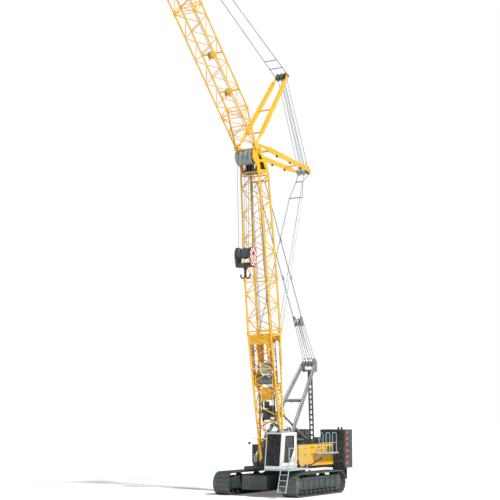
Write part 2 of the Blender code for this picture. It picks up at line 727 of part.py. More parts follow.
def cab():
    """A hollow cab with a doorway on its outer side, glass on the others, and a seat."""
    shell = plate(cab_side(), CAB_INNER, CAB_OUTER)
    rails = [box((CAB_OUTER - 0.01, windscreen_y(DOOR_SILL) + 0.16, DOOR_SILL - 0.035),
                 (CAB_OUTER + DOOR_THICKNESS, CAB_REAR, DOOR_SILL - 0.0005)),
             box((CAB_OUTER - 0.01, windscreen_y(DOOR_HEAD) + 0.16, DOOR_HEAD + 0.0005),
                 (CAB_OUTER + DOOR_THICKNESS, CAB_REAR, DOOR_HEAD + 0.035))]
    inner_low, inner_high = CAB_INNER + CAB_WALL, CAB_OUTER - CAB_WALL
    cuts = [
        plate(cab_side(CAB_WALL), inner_low, inner_high),
        plate(sloped(DOOR_SILL + 0.06, DOOR_HEAD - 0.06, DOOR_REAR - 0.06, 0.36), CAB_OUTER - 0.2,
              CAB_OUTER + 0.2),
        plate(sloped(DOOR_SILL, CAB_TOP - 0.10, CAB_FRONT + 0.7, -0.3), inner_low + 0.02,
              inner_high - 0.02),
        plate(SIDE_WINDOW, CAB_INNER - 0.2, CAB_INNER + 0.2),
        box((inner_low + 0.10, CAB_REAR - 0.2, 2.35), (inner_high - 0.10, CAB_REAR + 0.2, 3.25)),
    ]
    piece("cab_shell", [shell, *rails], "off_white", slew, cuts=cuts)

    screen = [(windscreen_y(z, inset), z) for z, inset in (
        (DOOR_SILL + FIT_GAP, 0.012), (CAB_TOP - 0.10 - FIT_GAP, 0.012),
        (CAB_TOP - 0.10 - FIT_GAP, 0.012 + GLASS_THICKNESS), (DOOR_SILL + FIT_GAP,
                                                              0.012 + GLASS_THICKNESS))]
    piece("windscreen", [plate(screen, inner_low + 0.02 + FIT_GAP, inner_high - 0.02 - FIT_GAP)],
          "glass", slew)
    piece("cab_inner_window",
          [plate(shrunk(SIDE_WINDOW, FIT_GAP), CAB_INNER + 0.015, CAB_INNER + 0.015 + GLASS_THICKNESS)],
          "glass", slew)
    piece("cab_rear_window",
          [box((inner_low + 0.10 + FIT_GAP, CAB_REAR - 0.03, 2.35 + FIT_GAP),
               (inner_high - 0.10 - FIT_GAP, CAB_REAR - 0.03 + GLASS_THICKNESS, 3.25 - FIT_GAP))],
          "glass", slew)

    middle = (CAB_INNER + CAB_OUTER) / 2
    floor = CAB_BOTTOM + CAB_WALL + FIT_GAP
    seat = [
        box((middle - 0.12, -2.45, floor), (middle + 0.12, -2.15, floor + 0.36)),
        box((middle - 0.25, -2.62, floor + 0.34), (middle + 0.25, -2.08, floor + 0.48)),
        box((middle - 0.24, -2.17, floor + 0.44), (middle + 0.24, -2.04, floor + 1.18)),
        box((middle - 0.36, -2.60, floor + 0.40), (middle - 0.26, -2.10, floor + 0.66)),
        box((middle + 0.26, -2.60, floor + 0.40), (middle + 0.36, -2.10, floor + 0.66)),
        box((middle - 0.38, -2.40, floor + 0.38), (middle + 0.38, -2.20, floor + 0.44)),
    ]
    piece("operator_seat", seat, "black", slew)

    roof = CAB_TOP + FIT_GAP
    guard_front = windscreen_y(CAB_TOP) - 0.02
    bars = [box((CAB_INNER + 0.05, guard_front, roof), (CAB_OUTER - 0.05, guard_front + 0.04, roof + 0.10)),
            box((CAB_INNER + 0.05, guard_front + 0.80, roof), (CAB_OUTER - 0.05, guard_front + 0.84,
                                                               roof + 0.10))]
    for i in range(8):
        x = CAB_INNER + 0.07 + i * (CAB_WIDTH - 0.18) / 7
        bars.append(box((x, guard_front + 0.01, roof + 0.04), (x + 0.04, guard_front + 0.83, roof + 0.09)))
    bars.append(rod((CAB_OUTER - 0.30, guard_front + 0.84, roof + 0.06),
                    (CAB_OUTER - 0.30, -1.90, roof + 0.06), 0.02, 6))
    bars.append(rod((CAB_OUTER - 0.30, -1.92, roof), (CAB_OUTER - 0.30, -1.92, roof + 0.16), 0.05, 10))
    piece("cab_roof_guard", bars, "light_grey", slew)


def cab_door():
    """The sliding door, its window and its handle, between the two rails."""
    low, high = CAB_OUTER + 0.005, CAB_OUTER + DOOR_THICKNESS - 0.002
    leaf = plate(sloped(DOOR_SILL, DOOR_HEAD, DOOR_REAR, 0.26), low, high)
    front, rear = DOOR_REAR - 0.12, DOOR_REAR - 0.08
    handle = [box((high - 0.01, front, 1.95), (high + 0.04, rear, 1.98)),
              box((high - 0.01, front, 2.17), (high + 0.04, rear, 2.20)),
              box((high + 0.02, front, 1.95), (high + 0.04, rear, 2.20))]
    window = plate(DOOR_WINDOW, low - 0.1, high + 0.1)
    piece("cab_door", [leaf, *handle], "off_white", door_slide, cuts=[window])
    piece("cab_door_glass", [plate(shrunk(DOOR_WINDOW, FIT_GAP), low + 0.012,
                                   low + 0.012 + GLASS_THICKNESS)],
          "glass", door_slide)


def platform():
    """The walkway round the cab with its ladder, and its railing."""
    low, high = PLATFORM_TOP - PLATFORM_THICKNESS, PLATFORM_TOP
    floor = plate([(CAB_INNER + 0.10, PLATFORM_FRONT), (PLATFORM_OUTER, PLATFORM_FRONT),
                   (PLATFORM_OUTER, PLATFORM_REAR), (DECK_HALF_WIDTH + FIT_GAP, PLATFORM_REAR),
                   (DECK_HALF_WIDTH + FIT_GAP, DECK_FRONT - FIT_GAP), (CAB_INNER + 0.10,
                                                                       DECK_FRONT - FIT_GAP)],
                  low, high, "z")
    solids = [floor]
    top = Vector((0, PLATFORM_FRONT + 0.02, low + 0.04))
    foot = Vector((0, PLATFORM_FRONT - LADDER_REACH, LADDER_BOTTOM))
    for x in (LADDER_LEFT, LADDER_LEFT + LADDER_WIDTH):
        solids.append(rod(top + Vector((x, 0, 0)), foot + Vector((x, 0, 0)), 0.028, 6))
    rungs = 4
    for i in range(rungs):
        y, z = between(foot[1:], top[1:], 0.04 + i / rungs)
        solids.append(box((LADDER_LEFT, y - 0.06, z - 0.015), (LADDER_LEFT + LADDER_WIDTH, y + 0.06,
                                                               z + 0.015)))
    piece("cab_platform", solids, "light_grey", slew)

    base = high + FIT_GAP
    rail = []
    posts = 4
    for i in range(posts):
        y = PLATFORM_FRONT + 0.06 + i * 0.68
        rail.append(rod((PLATFORM_OUTER - 0.04, y, base), (PLATFORM_OUTER - 0.04, y, base + RAIL_HEIGHT),
                        0.022, 6))
    last = PLATFORM_FRONT + 0.06 + (posts - 1) * 0.68
    for z in (base + RAIL_HEIGHT / 2, base + RAIL_HEIGHT):
        rail.append(rod((PLATFORM_OUTER - 0.04, PLATFORM_FRONT + 0.05, z),
                        (PLATFORM_OUTER - 0.04, last + 0.01, z), 0.021, 6))
    piece("platform_railing", rail, "light_grey", slew)


WALKWAY_TOP = 2.28


def walkway():
    """Fold-out treads beside the left house, on brackets, with a tall hand rail."""
    inner, outer = HOUSE_OUTER + FIT_GAP, HOUSE_OUTER + 0.42
    solids = []
    for i in range(4):
        y = 1.05 + i * 0.66
        solids.append(box((inner, y, WALKWAY_TOP - 0.07), (outer, y + 0.60, WALKWAY_TOP)))
        solids.append(box((inner, y + 0.24, WALKWAY_TOP - 0.12),
                          (outer - 0.05, y + 0.30, WALKWAY_TOP - 0.03)))
    solids.append(box((inner, 1.05, WALKWAY_TOP - 0.07), (inner + 0.04, 3.63, WALKWAY_TOP - 0.01)))
    piece("side_walkway", solids, "light_grey", slew)

    rail = []
    base = WALKWAY_TOP + FIT_GAP
    for i in range(3):
        y = 1.20 + i * 0.86
        hoop = [(outer - 0.05, y, base), (outer - 0.05, y, base + 1.05),
                (outer - 0.05, y + 0.06, base + 1.12),
                (outer - 0.05, y + 0.44, base + 1.12), (outer - 0.05, y + 0.50, base + 1.05),
                (outer - 0.05, y + 0.50, base)]
        rail.append(pipe(hoop, 0.020))
        rail.append(rod((outer - 0.05, y, base + 0.55), (outer - 0.05, y + 0.50, base + 0.55), 0.016, 6))
    rail.append(rod((outer - 0.05, 1.70, base + 0.55), (outer - 0.05, 2.92, base + 0.55), 0.016, 6))
    piece("walkway_railing", rail, "light_grey", slew)


def roof_gear():
    """Silencer, air cleaner and filler boxes along the houses' roofs, as one skid a side."""
    roof = HOUSE_TOP + FIT_GAP
    left = [
        box((1.05, 1.0, roof), (1.45, 3.55, roof + 0.09)),
        rod((1.25, 3.25, roof + 0.05), (1.25, 3.25, roof + 0.52), 0.11, 10),
        rod((1.25, 2.55, roof + 0.24), (1.25, 1.85, roof + 0.24), 0.16, 12),
        box((1.10, 1.10, roof + 0.05), (1.40, 1.60, roof + 0.30)),
    ]
    piece("roof_gear_left", left, "dark_green", slew)
    right = [
        box((-1.36, 0.6, roof), (-1.04, 3.4, roof + 0.09)),
        rod((-1.20, 1.2, roof + 0.22), (-1.20, 2.3, roof + 0.22), 0.15, 12),
        rod((-1.20, 2.8, roof + 0.05), (-1.20, 2.8, roof + 0.60), 0.07, 10),
    ]
    piece("engine_exhaust", right, "dark_green", slew)


def front_rail():
    """The thin railing and the mirror bracket at the front of the right house."""
    x = -1.33
    y = RIGHT_HOUSE_FRONT - 0.02
    loop = [(x, y, 2.05), (x, y, 3.10), (x + 0.30, y, 3.10), (x + 0.30, y, 2.05)]
    mirror = [(x, y, 2.12), (x - 0.20, y - 0.12, 2.12), (x - 0.24, y - 0.12, 1.86),
              (x - 0.08, y - 0.05, 1.86)]
    clamp = box((x - 0.04, y - 0.03, 2.00), (x + 0.34, RIGHT_HOUSE_FRONT - FIT_GAP, 2.20))
    piece("front_railing", [clamp, pipe(loop, 0.016), pipe(mirror, 0.016)], "light_grey", slew)


# ---------------------------------------------------------------- lattice sections
def corners(half_width, rear, front, station):
    """The four chord points at a station: front left, front right, rear right, rear left."""
    return [Vector((-half_width, front, station)), Vector((half_width, front, station)),
            Vector((half_width, rear, station)), Vector((-half_width, rear, station))]


def trim(low, high, frame):
    """Cutters that square off a section below and above two stations of its frame."""
    return [box((-2, -2, low - 0.5), (2, 2, low), frame), box((-2, -2, high), (2, 2, high + 0.5), frame)]


def lattice(start, end, bays, chord, lace, frame):
    """Chords between two sets of corners, laced with a zigzag on each face.

    Opposite faces lean opposite ways, so that the lacing crosses when seen through.
    """
    solids = [rod(a, b, chord, CHORD_SIDES, frame) for a, b in zip(start, end)]
    inset = LACE_INSET / (end[0] - start[0]).length
    for face in range(4):
        near, far = ((start[i % 4], end[i % 4]) for i in (face, face + 1))
        for i in range(bays):
            first, last = (near, far) if (i + face // 2) % 2 else (far, near)
            low = first[0].lerp(first[1], i / bays + inset)
            high = last[0].lerp(last[1], (i + 1) / bays - inset)
            solids.append(rod(low, high, lace, LACE_SIDES, frame))
        for share in (inset, 1 - inset):
            bar = near[0].lerp(near[1], share), far[0].lerp(far[1], share)
            solids.append(rod(*bar, lace * 1.15, LACE_SIDES, frame))
    return solids


def boom_corners(station):
    """The boom's chord points at a distance from its foot pin."""
    depth = BOOM_DEPTH / 2
    half = BOOM_WIDTH / 2
    if station < FOOT_LENGTH:
        depth *= station / FOOT_LENGTH
    if station > INSERT_START:
        half += (BOOM_TOP_WIDTH - BOOM_WIDTH) / 2 * min(1, (station - INSERT_START) / LONG_INSERT)
    return corners(half, depth, -depth, station)


def boom_foot():
    """The foot section: bosses at the pin, four spreading chords, winch frame and bars."""
    pin_inner = BOOM_WIDTH / 2 - 0.06
    solids = lattice(boom_corners(1.1), boom_corners(FOOT_LENGTH + TRIM), 5, CHORD_RADIUS, LACE_RADIUS,
                     BOOM)
    side = [
        rod((pin_inner, 0, 0), (BOOM_WIDTH / 2 + 0.06, 0, 0), BOSS_RADIUS, 12, BOOM),
        plate([(-0.07, 0.05), (0.07, 0.05), (0.14, 1.2), (-0.14, 1.2)],
              BOOM_WIDTH / 2 - 0.035, BOOM_WIDTH / 2 + 0.035, frame=BOOM),
        plate([(BACKSTOP_EYE.y - 0.07, BACKSTOP_EYE.z - 0.04),
               (BACKSTOP_EYE.y + 0.03, BACKSTOP_EYE.z - 0.08),
               (BOOM_DEPTH / 2, 2.67), (BOOM_DEPTH / 2, 2.73), (BACKSTOP_EYE.y - 0.03,
                                                                BACKSTOP_EYE.z + 0.07)],
              BACKSTOP_X + EYE_HALF + FIT_GAP, BACKSTOP_X + EYE_HALF + 0.03, frame=BOOM),
    ]
    solids += both_sides(side)
    for station, tube, (a, b) in ((1.25, 0.05, (0, 1)), (2.70, 0.045, (2, 3))):
        points = boom_corners(station)
        solids.append(rod(points[a], points[b], tube, 8, BOOM))
    stand = [(-0.36, JIB_WINCH_STATION - 0.44), (0.36, JIB_WINCH_STATION - 0.44),
             (0.36, JIB_WINCH_STATION + 0.44), (-0.36, JIB_WINCH_STATION + 0.44)]
    solids += both_sides([plate(stand, 0.53, 0.57, frame=BOOM),
                          box((0.54, -0.05, JIB_WINCH_STATION - 0.46),
                              (BOOM_WIDTH / 2, 0.05, JIB_WINCH_STATION - 0.36), BOOM),
                          box((0.54, -0.05, JIB_WINCH_STATION + 0.36),
                              (BOOM_WIDTH / 2, 0.05, JIB_WINCH_STATION + 0.46), BOOM)])
    bores = [cross_rod((0, 0), 1.0, bore_radius(BOOM_PIN_RADIUS, PIN_SIDES), PIN_SIDES, BOOM),
             cross_rod((0, JIB_WINCH_STATION), 0.60, bore_radius(DRUM_SHAFT, 12), 12, BOOM),
             trim(-0.5, FOOT_LENGTH, BOOM)[1]]
    piece("boom_foot_section", solids, "yellow", boom_hinge, cuts=bores)


JIB_WINCH_STATION = 4.55
BACKSTOP_EYE = BOOM.inverted() @ Vector((0, *BACKSTOP_HEAD))


def boom_inserts():
    """The short and the long insert, end to end on the foot section."""
    low, high = FOOT_LENGTH + FIT_GAP, INSERT_START
    lower = lattice(boom_corners(low - TRIM / 2), boom_corners(high), 2, CHORD_RADIUS, LACE_RADIUS, BOOM)
    left, right, rear_right, rear_left = boom_corners(FOOT_LENGTH + 0.10)
    lugs = []
    for corner in (rear_right, rear_left):
        lugs.append(box(corner + Vector((-0.03, 0.0, -0.09)), corner + Vector((0.03, 0.16, 0.10)), BOOM))
    piece("boom_short_insert", [*lower, *lugs], "yellow", boom_hinge, cuts=trim(low, high, BOOM))
    low, high = INSERT_START + FIT_GAP, HEAD_START
    upper = lattice(boom_corners(low - TRIM), boom_corners(high + TRIM), 4, CHORD_RADIUS, LACE_RADIUS, BOOM)
    rear = boom_corners(PENDANT_HEAD_STATION)[2]
    upper.append(rod((-rear.x, rear.y, rear.z), rear, 0.05, 8, BOOM))
    for x in (-PENDANT_X, PENDANT_X):
        for side in (-1, 1):
            inner, outer = sorted((x + side * 0.032, x + side * 0.05))
            upper.append(plate([(rear.y, rear.z - 0.06), (rear.y, rear.z + 0.06),
                                (rear.y + 0.14, rear.z + 0.06),
                                (rear.y + 0.14, rear.z - 0.06)], inner, outer, frame=BOOM))
    piece("boom_long_insert", upper, "yellow", boom_hinge, cuts=trim(low, high, BOOM))


HEAD_PLATE = (0.52, 0.575)
HEAD_SHEAVE = BOOM.inverted() @ Vector((0, HOOK_Y, HEAD_SHEAVE_HEIGHT))


def boom_head():
    """Two pierced side plates with cross tubes, the jib's pins and the head sheaves' shaft."""
    low, high = HEAD_PLATE
    start = HEAD_START + FIT_GAP
    pin = HEAD_START + JIB_PIN_STATION
    depth = BOOM_DEPTH / 2
    outline = [(-depth - 0.06, start), (depth + 0.06, start), (depth + 0.06, start + 0.30),
               (depth - 0.35, start + 0.95), (-0.45, pin - 0.08),
               *arc((-JIB_FORWARD, pin), 0.15, 20, 220, 5), (-JIB_FORWARD - 0.22, pin - 0.30),
               (HEAD_SHEAVE.y - 0.14, HEAD_SHEAVE.z - 0.12), (-depth - 0.10, start + 0.35)]
    holes = [[(-0.30, start + 0.20), (0.30, start + 0.20), (0.10, start + 0.62), (-0.34, start + 0.62)],
             [(-0.38, start + 0.76), (0.04, start + 0.76), (-0.22, start + 1.06), (-0.42, start + 1.06)]]
    side = [
        plate(outline, low, high, holes=holes, frame=BOOM),
        rod((low + 0.01, -JIB_FORWARD, pin), (JIB_WIDTH / 2 + 0.075, -JIB_FORWARD, pin), BOOM_PIN_RADIUS,
            PIN_SIDES, BOOM),
    ]
    solids = both_sides(side)
    for y, z in ((0.42, start + 0.08), (-0.48, start + 0.08), (-0.62, pin - 0.08), (0.28, start + 0.62)):
        solids.append(cross_rod((y, z), high - 0.01, 0.05, 10, BOOM))
    solids.append(cross_rod((HEAD_SHEAVE.y, HEAD_SHEAVE.z), high - 0.01, BOOM_PIN_RADIUS, 16, BOOM))
    solids += both_sides([box((high - 0.01, REAR_FOOT.y - 0.10, REAR_FOOT.z - 0.40),
                              (REAR_MAST_FOOT_X + 0.04, REAR_FOOT.y + 0.10, REAR_LUG_TOP), BOOM)])
    piece("boom_head", solids, "yellow", boom_hinge)


REAR_FOOT = BOOM.inverted() @ Vector((0, *REAR_MAST_FOOT))
REAR_LUG_TOP = REAR_FOOT.z - 0.18


def mast(name, foot, end, foot_x, end_x, carried, bars, tube, extra=(), cuts=()):
    """An A-shaped mast of two tubes joined by cross bars at shares of its length."""
    frame = side_frame(foot, end)
    length = distance(foot, end)
    side = [rod((foot_x, 0, 0), (end_x, 0, length), tube, 10, frame)]
    solids = both_sides(side)
    for share, radius in bars:
        x = foot_x + (end_x - foot_x) * share
        solids.append(rod((-x, 0, share * length), (x, 0, share * length), radius, 8, frame))
    piece(name, [*solids, *extra], "yellow", carried, cuts=cuts)


REAR_SHEAVE_RADIUS = 0.26
REAR_HINGE = carrier("rear_mast_sheave_pin", at(0, *REAR_MAST_END), boom_hinge)


def rear_mast():
    """The mast fixed to the boom head, its end sheaves and its stays to the boom foot."""
    y, z = REAR_MAST_END
    end_plates = both_sides([
        box((0.38, y - 0.20, z - 0.12), (0.42, y + 0.16, z + 0.12)),
        box((0.40, y - 0.34, z - 0.06), (0.50, y - 0.16, z + 0.06)),
        box((REAR_MAST_FOOT_X - 0.05, REAR_FOOT.y - 0.08, REAR_LUG_TOP + FIT_GAP),
            (REAR_MAST_FOOT_X + 0.03, REAR_FOOT.y + 0.10, REAR_FOOT.z + 0.07), BOOM),
    ])
    end_plates.append(cross_rod(REAR_MAST_END, 0.44, 0.045, 12))
    end_plates.append(rod((0.44, y - 0.55, z + 0.02), (0.44, y - 0.55, z + 0.45), 0.03, 6))
    mast("rear_mast", REAR_MAST_FOOT, (y - 0.25, z), REAR_MAST_FOOT_X, 0.45, boom_hinge,
         ((0.22, 0.05), (0.80, 0.045)), MAST_TUBE, end_plates)
    profile = sheave_profile(0.30, REAR_SHEAVE_RADIUS, 0.10, 2, 0.38)
    piece("rear_mast_sheaves", [turned(profile, REAR_MAST_END, steps=16)], "steel_grey", REAR_HINGE,
          cuts=[cross_rod(REAR_MAST_END, 0.6, bore_radius(0.045, 12), 12)])

    lug_corner = BOOM @ (boom_corners(FOOT_LENGTH + 0.10)[2] + Vector((0, 0.16 + 0.03, 0)))
    stops = [(0.40, y + 0.02, z - 0.145), (0.23, 2.50, 18.42), (0.45, 2.05, 17.37), tuple(lug_corner)]
    side = [rod(a, b, STAY_RADIUS, 6) for a, b in zip(stops, stops[1:])]
    side.append(box((stops[0][0] - 0.03, y - 0.05, z - 0.20), (stops[0][0] + 0.03, y + 0.07,
                                                               z - 0.12 - FIT_GAP)))
    side.append(rod((lug_corner.x - 0.035, *lug_corner[1:]), (lug_corner.x + 0.035, *lug_corner[1:]),
                    0.0296, 8))
    solids = both_sides(side)
    for x, spreader_y, spreader_z in stops[1:3]:
        solids.append(rod((-x - 0.03, spreader_y, spreader_z), (x + 0.03, spreader_y, spreader_z), 0.03, 6))
    piece("rear_mast_stays", solids, "steel_grey", boom_hinge)


def sheave_profile(half, radius, groove, count, seat):
    """The outline of a pack of sheaves, from its +X end to its -X end.

    Its hub reaches to the cheeks, whose inner sides are at the seat.
    """
    width = 2 * half / count
    hub = seat - FIT_GAP
    points = [(hub, HUB_RADIUS), (half, HUB_RADIUS)]
    for i in range(count):
        left = half - i * width
        points += [(left, radius), (left - 0.5 * width, radius - groove)]
    points += [(-half, radius), (-half, HUB_RADIUS), (-hub, HUB_RADIUS)]
    return points


def name_boards():
    """Blank boards on both sides of the foot section, with their brackets."""
    for side, name in ((1, "side_board_left"), (-1, "side_board_right")):
        x = side * (BOOM_WIDTH / 2 + CHORD_RADIUS + 0.02)
        inner, outer = sorted((x, x + side * 0.015))
        board = [box((inner, -0.24, 4.35), (outer, 0.12, 6.75), BOOM)]
        for station in (4.7, 6.4):
            flat = BOOM_WIDTH / 2 + CHORD_RADIUS * math.cos(math.pi / CHORD_SIDES)
            near, far = sorted((side * (flat + FIT_GAP), x + side * 0.005))
            depth = BOOM_DEPTH / 2 * station / FOOT_LENGTH
            board.append(box((near, -depth - 0.02, station - 0.04), (far, depth + 0.02, station), BOOM))
        piece(name, board, "off_white", boom_hinge)


# ---------------------------------------------------------------- luffing jib
def jib_corners(station):
    """The jib's chord points at a distance from its foot pin; the lower chord starts there."""
    upper = JIB_DEPTH * min(1, station / JIB_FOOT_LENGTH)
    half = JIB_WIDTH / 2
    taper_start = JIB_FOOT_LENGTH + JIB_INSERT_LENGTH
    low = 0.0
    if station > taper_start:
        share = (station - taper_start) / JIB_HEAD_LENGTH
        half *= 1 - 0.55 * share
        upper *= 1 - 0.45 * share
        low = 0.05 * share
    return corners(half, upper, low, station)


JIB_SLOPE = JIB_DEPTH / JIB_FOOT_LENGTH
FRONT_FOOT = JIB.inverted() @ Vector((0, *FRONT_MAST_FOOT))


def jib():
    """Foot, insert and head sections of the luffing jib."""
    half = JIB_WIDTH / 2
    foot_end = JIB_FOOT_LENGTH
    side = [
        rod((HEAD_PLATE[1] + 0.0005, 0, 0), (half + 0.06, 0, 0), BOSS_RADIUS, 12, JIB),
        rod((half, 0, 0), jib_corners(foot_end + TRIM)[1], JIB_CHORD_RADIUS, CHORD_SIDES, JIB),
        rod((half, 0, 0), jib_corners(foot_end)[2] + Vector((0, JIB_SLOPE * TRIM, TRIM)), JIB_CHORD_RADIUS,
            CHORD_SIDES, JIB),
        plate([(0.0, -0.10), (0.0, 0.12), (FRONT_FOOT.y - 0.09, 0.12), (FRONT_FOOT.y - 0.09, -0.10)],
              HEAD_PLATE[1] + 0.02, half, frame=JIB),
    ]
    front, rear = jib_corners(1.2)[1], jib_corners(1.2)[2]
    side.append(rod(front, rear, JIB_LACE_RADIUS * 1.3, 6, JIB))
    solids = both_sides(side)
    points = jib_corners(foot_end - LACE_INSET)
    for a, b in zip(points, points[1:] + points[:1]):
        solids.append(rod(a, b, JIB_LACE_RADIUS * 1.3, 6, JIB))
    middle = jib_corners(1.2)
    solids.append(rod(middle[0], middle[1], 0.035, 6, JIB))
    solids.append(rod(middle[0], points[1], JIB_LACE_RADIUS, 4, JIB))
    solids.append(rod(middle[3], points[2], JIB_LACE_RADIUS, 4, JIB))
    bore = cross_rod((0, 0), 1.0, bore_radius(BOOM_PIN_RADIUS, PIN_SIDES), PIN_SIDES, JIB)
    piece("jib_foot_section", solids, "yellow", jib_hinge, cuts=[bore, trim(-1, foot_end, JIB)[1]])

    insert_end = JIB_FOOT_LENGTH + JIB_INSERT_LENGTH
    low = foot_end + FIT_GAP
    insert = lattice(jib_corners(low), jib_corners(insert_end), 8, JIB_CHORD_RADIUS, JIB_LACE_RADIUS, JIB)
    piece("jib_insert", insert, "yellow", jib_hinge, cuts=trim(low, insert_end, JIB))

    low = insert_end + FIT_GAP
    head = lattice(jib_corners(low - TRIM), jib_corners(JIB_LENGTH - 0.55), 1, JIB_CHORD_RADIUS,
                   JIB_LACE_RADIUS, JIB)
    tip_x = jib_corners(JIB_LENGTH - 0.55)[1].x
    local = JIB.inverted() @ JIB_HEAD_PIN
    cheek = [(-0.02, JIB_LENGTH - 0.75), (0.55, JIB_LENGTH - 0.75), (0.58, JIB_LENGTH - 0.45),
             (0.15, JIB_LENGTH - 0.12), *arc((local.y, local.z), 0.15, 60, 200, 5)]
    head += both_sides([plate(cheek, JIB_CHEEK, tip_x, frame=JIB)])
    head.append(cross_rod((local.y, local.z), tip_x - 0.01, 0.04, 12, JIB))
    head.append(cross_rod((0.48, JIB_LENGTH - 0.52), tip_x - 0.01, 0.035, 8, JIB))
    for x in (-FORESTAY_X, FORESTAY_X):
        head.append(box((x - 0.02, 0.46, JIB_LENGTH - 0.57), (x + 0.02, 0.62, JIB_LENGTH - 0.43), JIB))
    piece("jib_head_section", head, "yellow", jib_hinge, cuts=[trim(low, JIB_LENGTH, JIB)[0]])


FORESTAY_X = 0.18
JIB_CHEEK = jib_corners(JIB_LENGTH - 0.55)[1].x - 0.06


def front_mast():
    """The mast that luffs with the jib, its tip sheaves and the stays to the jib head."""
    frame = side_frame(FRONT_MAST_FOOT, FRONT_MAST_TIP)
    length = distance(FRONT_MAST_FOOT, FRONT_MAST_TIP)
    tips = both_sides([box((0.33, -0.12, length - 0.26), (0.40, 0.12, length + 0.06), frame)])
    tips.append(cross_rod((0, length - 0.09), 0.36, 0.045, 12, frame))
    foot_low = JIB @ Vector((0, FRONT_FOOT.y - 0.09 + FIT_GAP, 0))
    trim = [box((-1, -0.5, -0.5), (1, FRONT_FOOT.y - 0.09 + FIT_GAP, 0.5), JIB)]
    tip_x = 0.37
    mast("front_mast", tuple(foot_low.yz), between(FRONT_MAST_FOOT, FRONT_MAST_TIP, 0.965),
         FRONT_MAST_FOOT_X, tip_x, jib_hinge,
         ((0.16, 0.045), (0.50, 0.05)), MAST_TUBE - 0.005, tips, trim)
    profile = sheave_profile(0.27, REAR_SHEAVE_RADIUS - 0.02, 0.09, 2, 0.33)
    piece("front_mast_sheaves", [turned(profile, (0, length - 0.09), steps=16, frame=frame)],
          "dark_green", jib_hinge,
          cuts=[cross_rod((0, length - 0.09), 0.6, bore_radius(0.045, 12), 12, frame)])

    anchor = JIB @ Vector((FORESTAY_X, 0.62 + STAY_RADIUS + FIT_GAP, JIB_LENGTH - 0.50))
    start = Vector((0.43, *between(FRONT_MAST_FOOT, FRONT_MAST_TIP, 0.99)))
    side = [rod(start, anchor, STAY_RADIUS, 6),
            box((0.40 + FIT_GAP, start.y - 0.05, start.z - 0.05), (0.46, start.y + 0.05, start.z + 0.05))]
    solids = both_sides(side)
    for share in (0.045, 0.085):
        point = start.lerp(anchor, share)
        solids.append(rod((-point.x - 0.03, *point.yz), (point.x + 0.03, *point.yz), 0.028, 6))
    piece("jib_forestays", solids, "steel_grey", jib_hinge)


# ---------------------------------------------------------------- rigging that moves
def boom_pendants():
    """The floating sheave block and the pendants from it to the boom's top."""
    head = Vector((0, *PENDANT_HEAD.yz))
    line = side_frame(GANTRY_TOP, tuple(head.yz))
    length = distance(GANTRY_TOP, tuple(head.yz))
    block = distance(GANTRY_TOP, FLOATING_BLOCK)
    frame_plates = both_sides([
        plate([(-0.16, block - 0.28), (0.16, block - 0.28), (0.16, block + 0.18), (0.06, block + 0.34),
               (-0.06, block + 0.34), (-0.16, block + 0.18)], 0.215, 0.245, frame=line),
        rod((PENDANT_X, 0, block + 0.24), (PENDANT_X, 0, length - 0.07), PENDANT_RADIUS, 6, line),
        rod((0.22, 0, block + 0.26), (PENDANT_X + 0.04, 0, block + 0.26), 0.04, 8, line),
        rod((PENDANT_X - 0.0315, 0, length - 0.07), (PENDANT_X + 0.0315, 0, length - 0.07), 0.045, 8, line),
    ])
    sheaves = turned(sheave_profile(0.20, 0.24, 0.09, 2, 0.23), (0, block - 0.06), steps=16, frame=line)
    slide = carrier("pendant_slide", line @ at(0, 0, block), GANTRY_HINGE)
    piece("boom_pendants", [sheaves, *frame_plates], "steel_grey", slide)


GANTRY_HINGE = carrier("gantry_sheave_pin", at(0, *GANTRY_TOP), slew)


def gantry_sheaves():
    profile = sheave_profile(0.33, 0.28, 0.10, 3, GANTRY_TOP_X - 0.04)
    piece("gantry_sheaves", [turned(profile, GANTRY_TOP, steps=16)], "steel_grey", GANTRY_HINGE,
          cuts=[cross_rod(GANTRY_TOP, 0.6, bore_radius(GANTRY_PIN, 16), 16)])


BACKSTOP_LENGTH = distance(BACKSTOP_FOOT, BACKSTOP_HEAD)
BARREL_LENGTH = 1.95


def backstops():
    """Two telescopic tubes that stop the boom from falling back."""
    line = side_frame(BACKSTOP_FOOT, BACKSTOP_HEAD)
    hinge = carrier("backstop_pin", line, slew)
    side = [rod((BACKSTOP_X, 0, 0.0), (BACKSTOP_X, 0, BARREL_LENGTH), 0.085, 12, line)]
    barrels = both_sides(side)
    barrels.append(cross_rod((0, 0), BACKSTOP_X + 0.16, 0.05, 16, line))
    barrels.append(cross_rod((0, 0), BACKSTOP_X + 0.115 - FIT_GAP, 0.08, 16, line))
    bores = both_sides([rod((BACKSTOP_X, 0, 0.30), (BACKSTOP_X, 0, BARREL_LENGTH + 0.1), 0.0604, 12, line)])
    piece("backstop_barrels", barrels, "steel_grey", hinge, cuts=bores)
    slide = carrier("backstop_rod_slide", line @ at(0, 0, BARREL_LENGTH), hinge)
    side = [rod((BACKSTOP_X, 0, 0.85), (BACKSTOP_X, 0, BACKSTOP_LENGTH), 0.06, 12, line),
            rod((BACKSTOP_X - EYE_HALF, 0, BACKSTOP_LENGTH), (BACKSTOP_X + EYE_HALF, 0, BACKSTOP_LENGTH),
                0.048, 12, line)]
    rods = both_sides(side)
    rods.append(cross_rod((0.0, BACKSTOP_LENGTH - 0.35), BACKSTOP_X, 0.035, 8, line))
    piece("backstop_rods", rods, "steel_grey", slide)


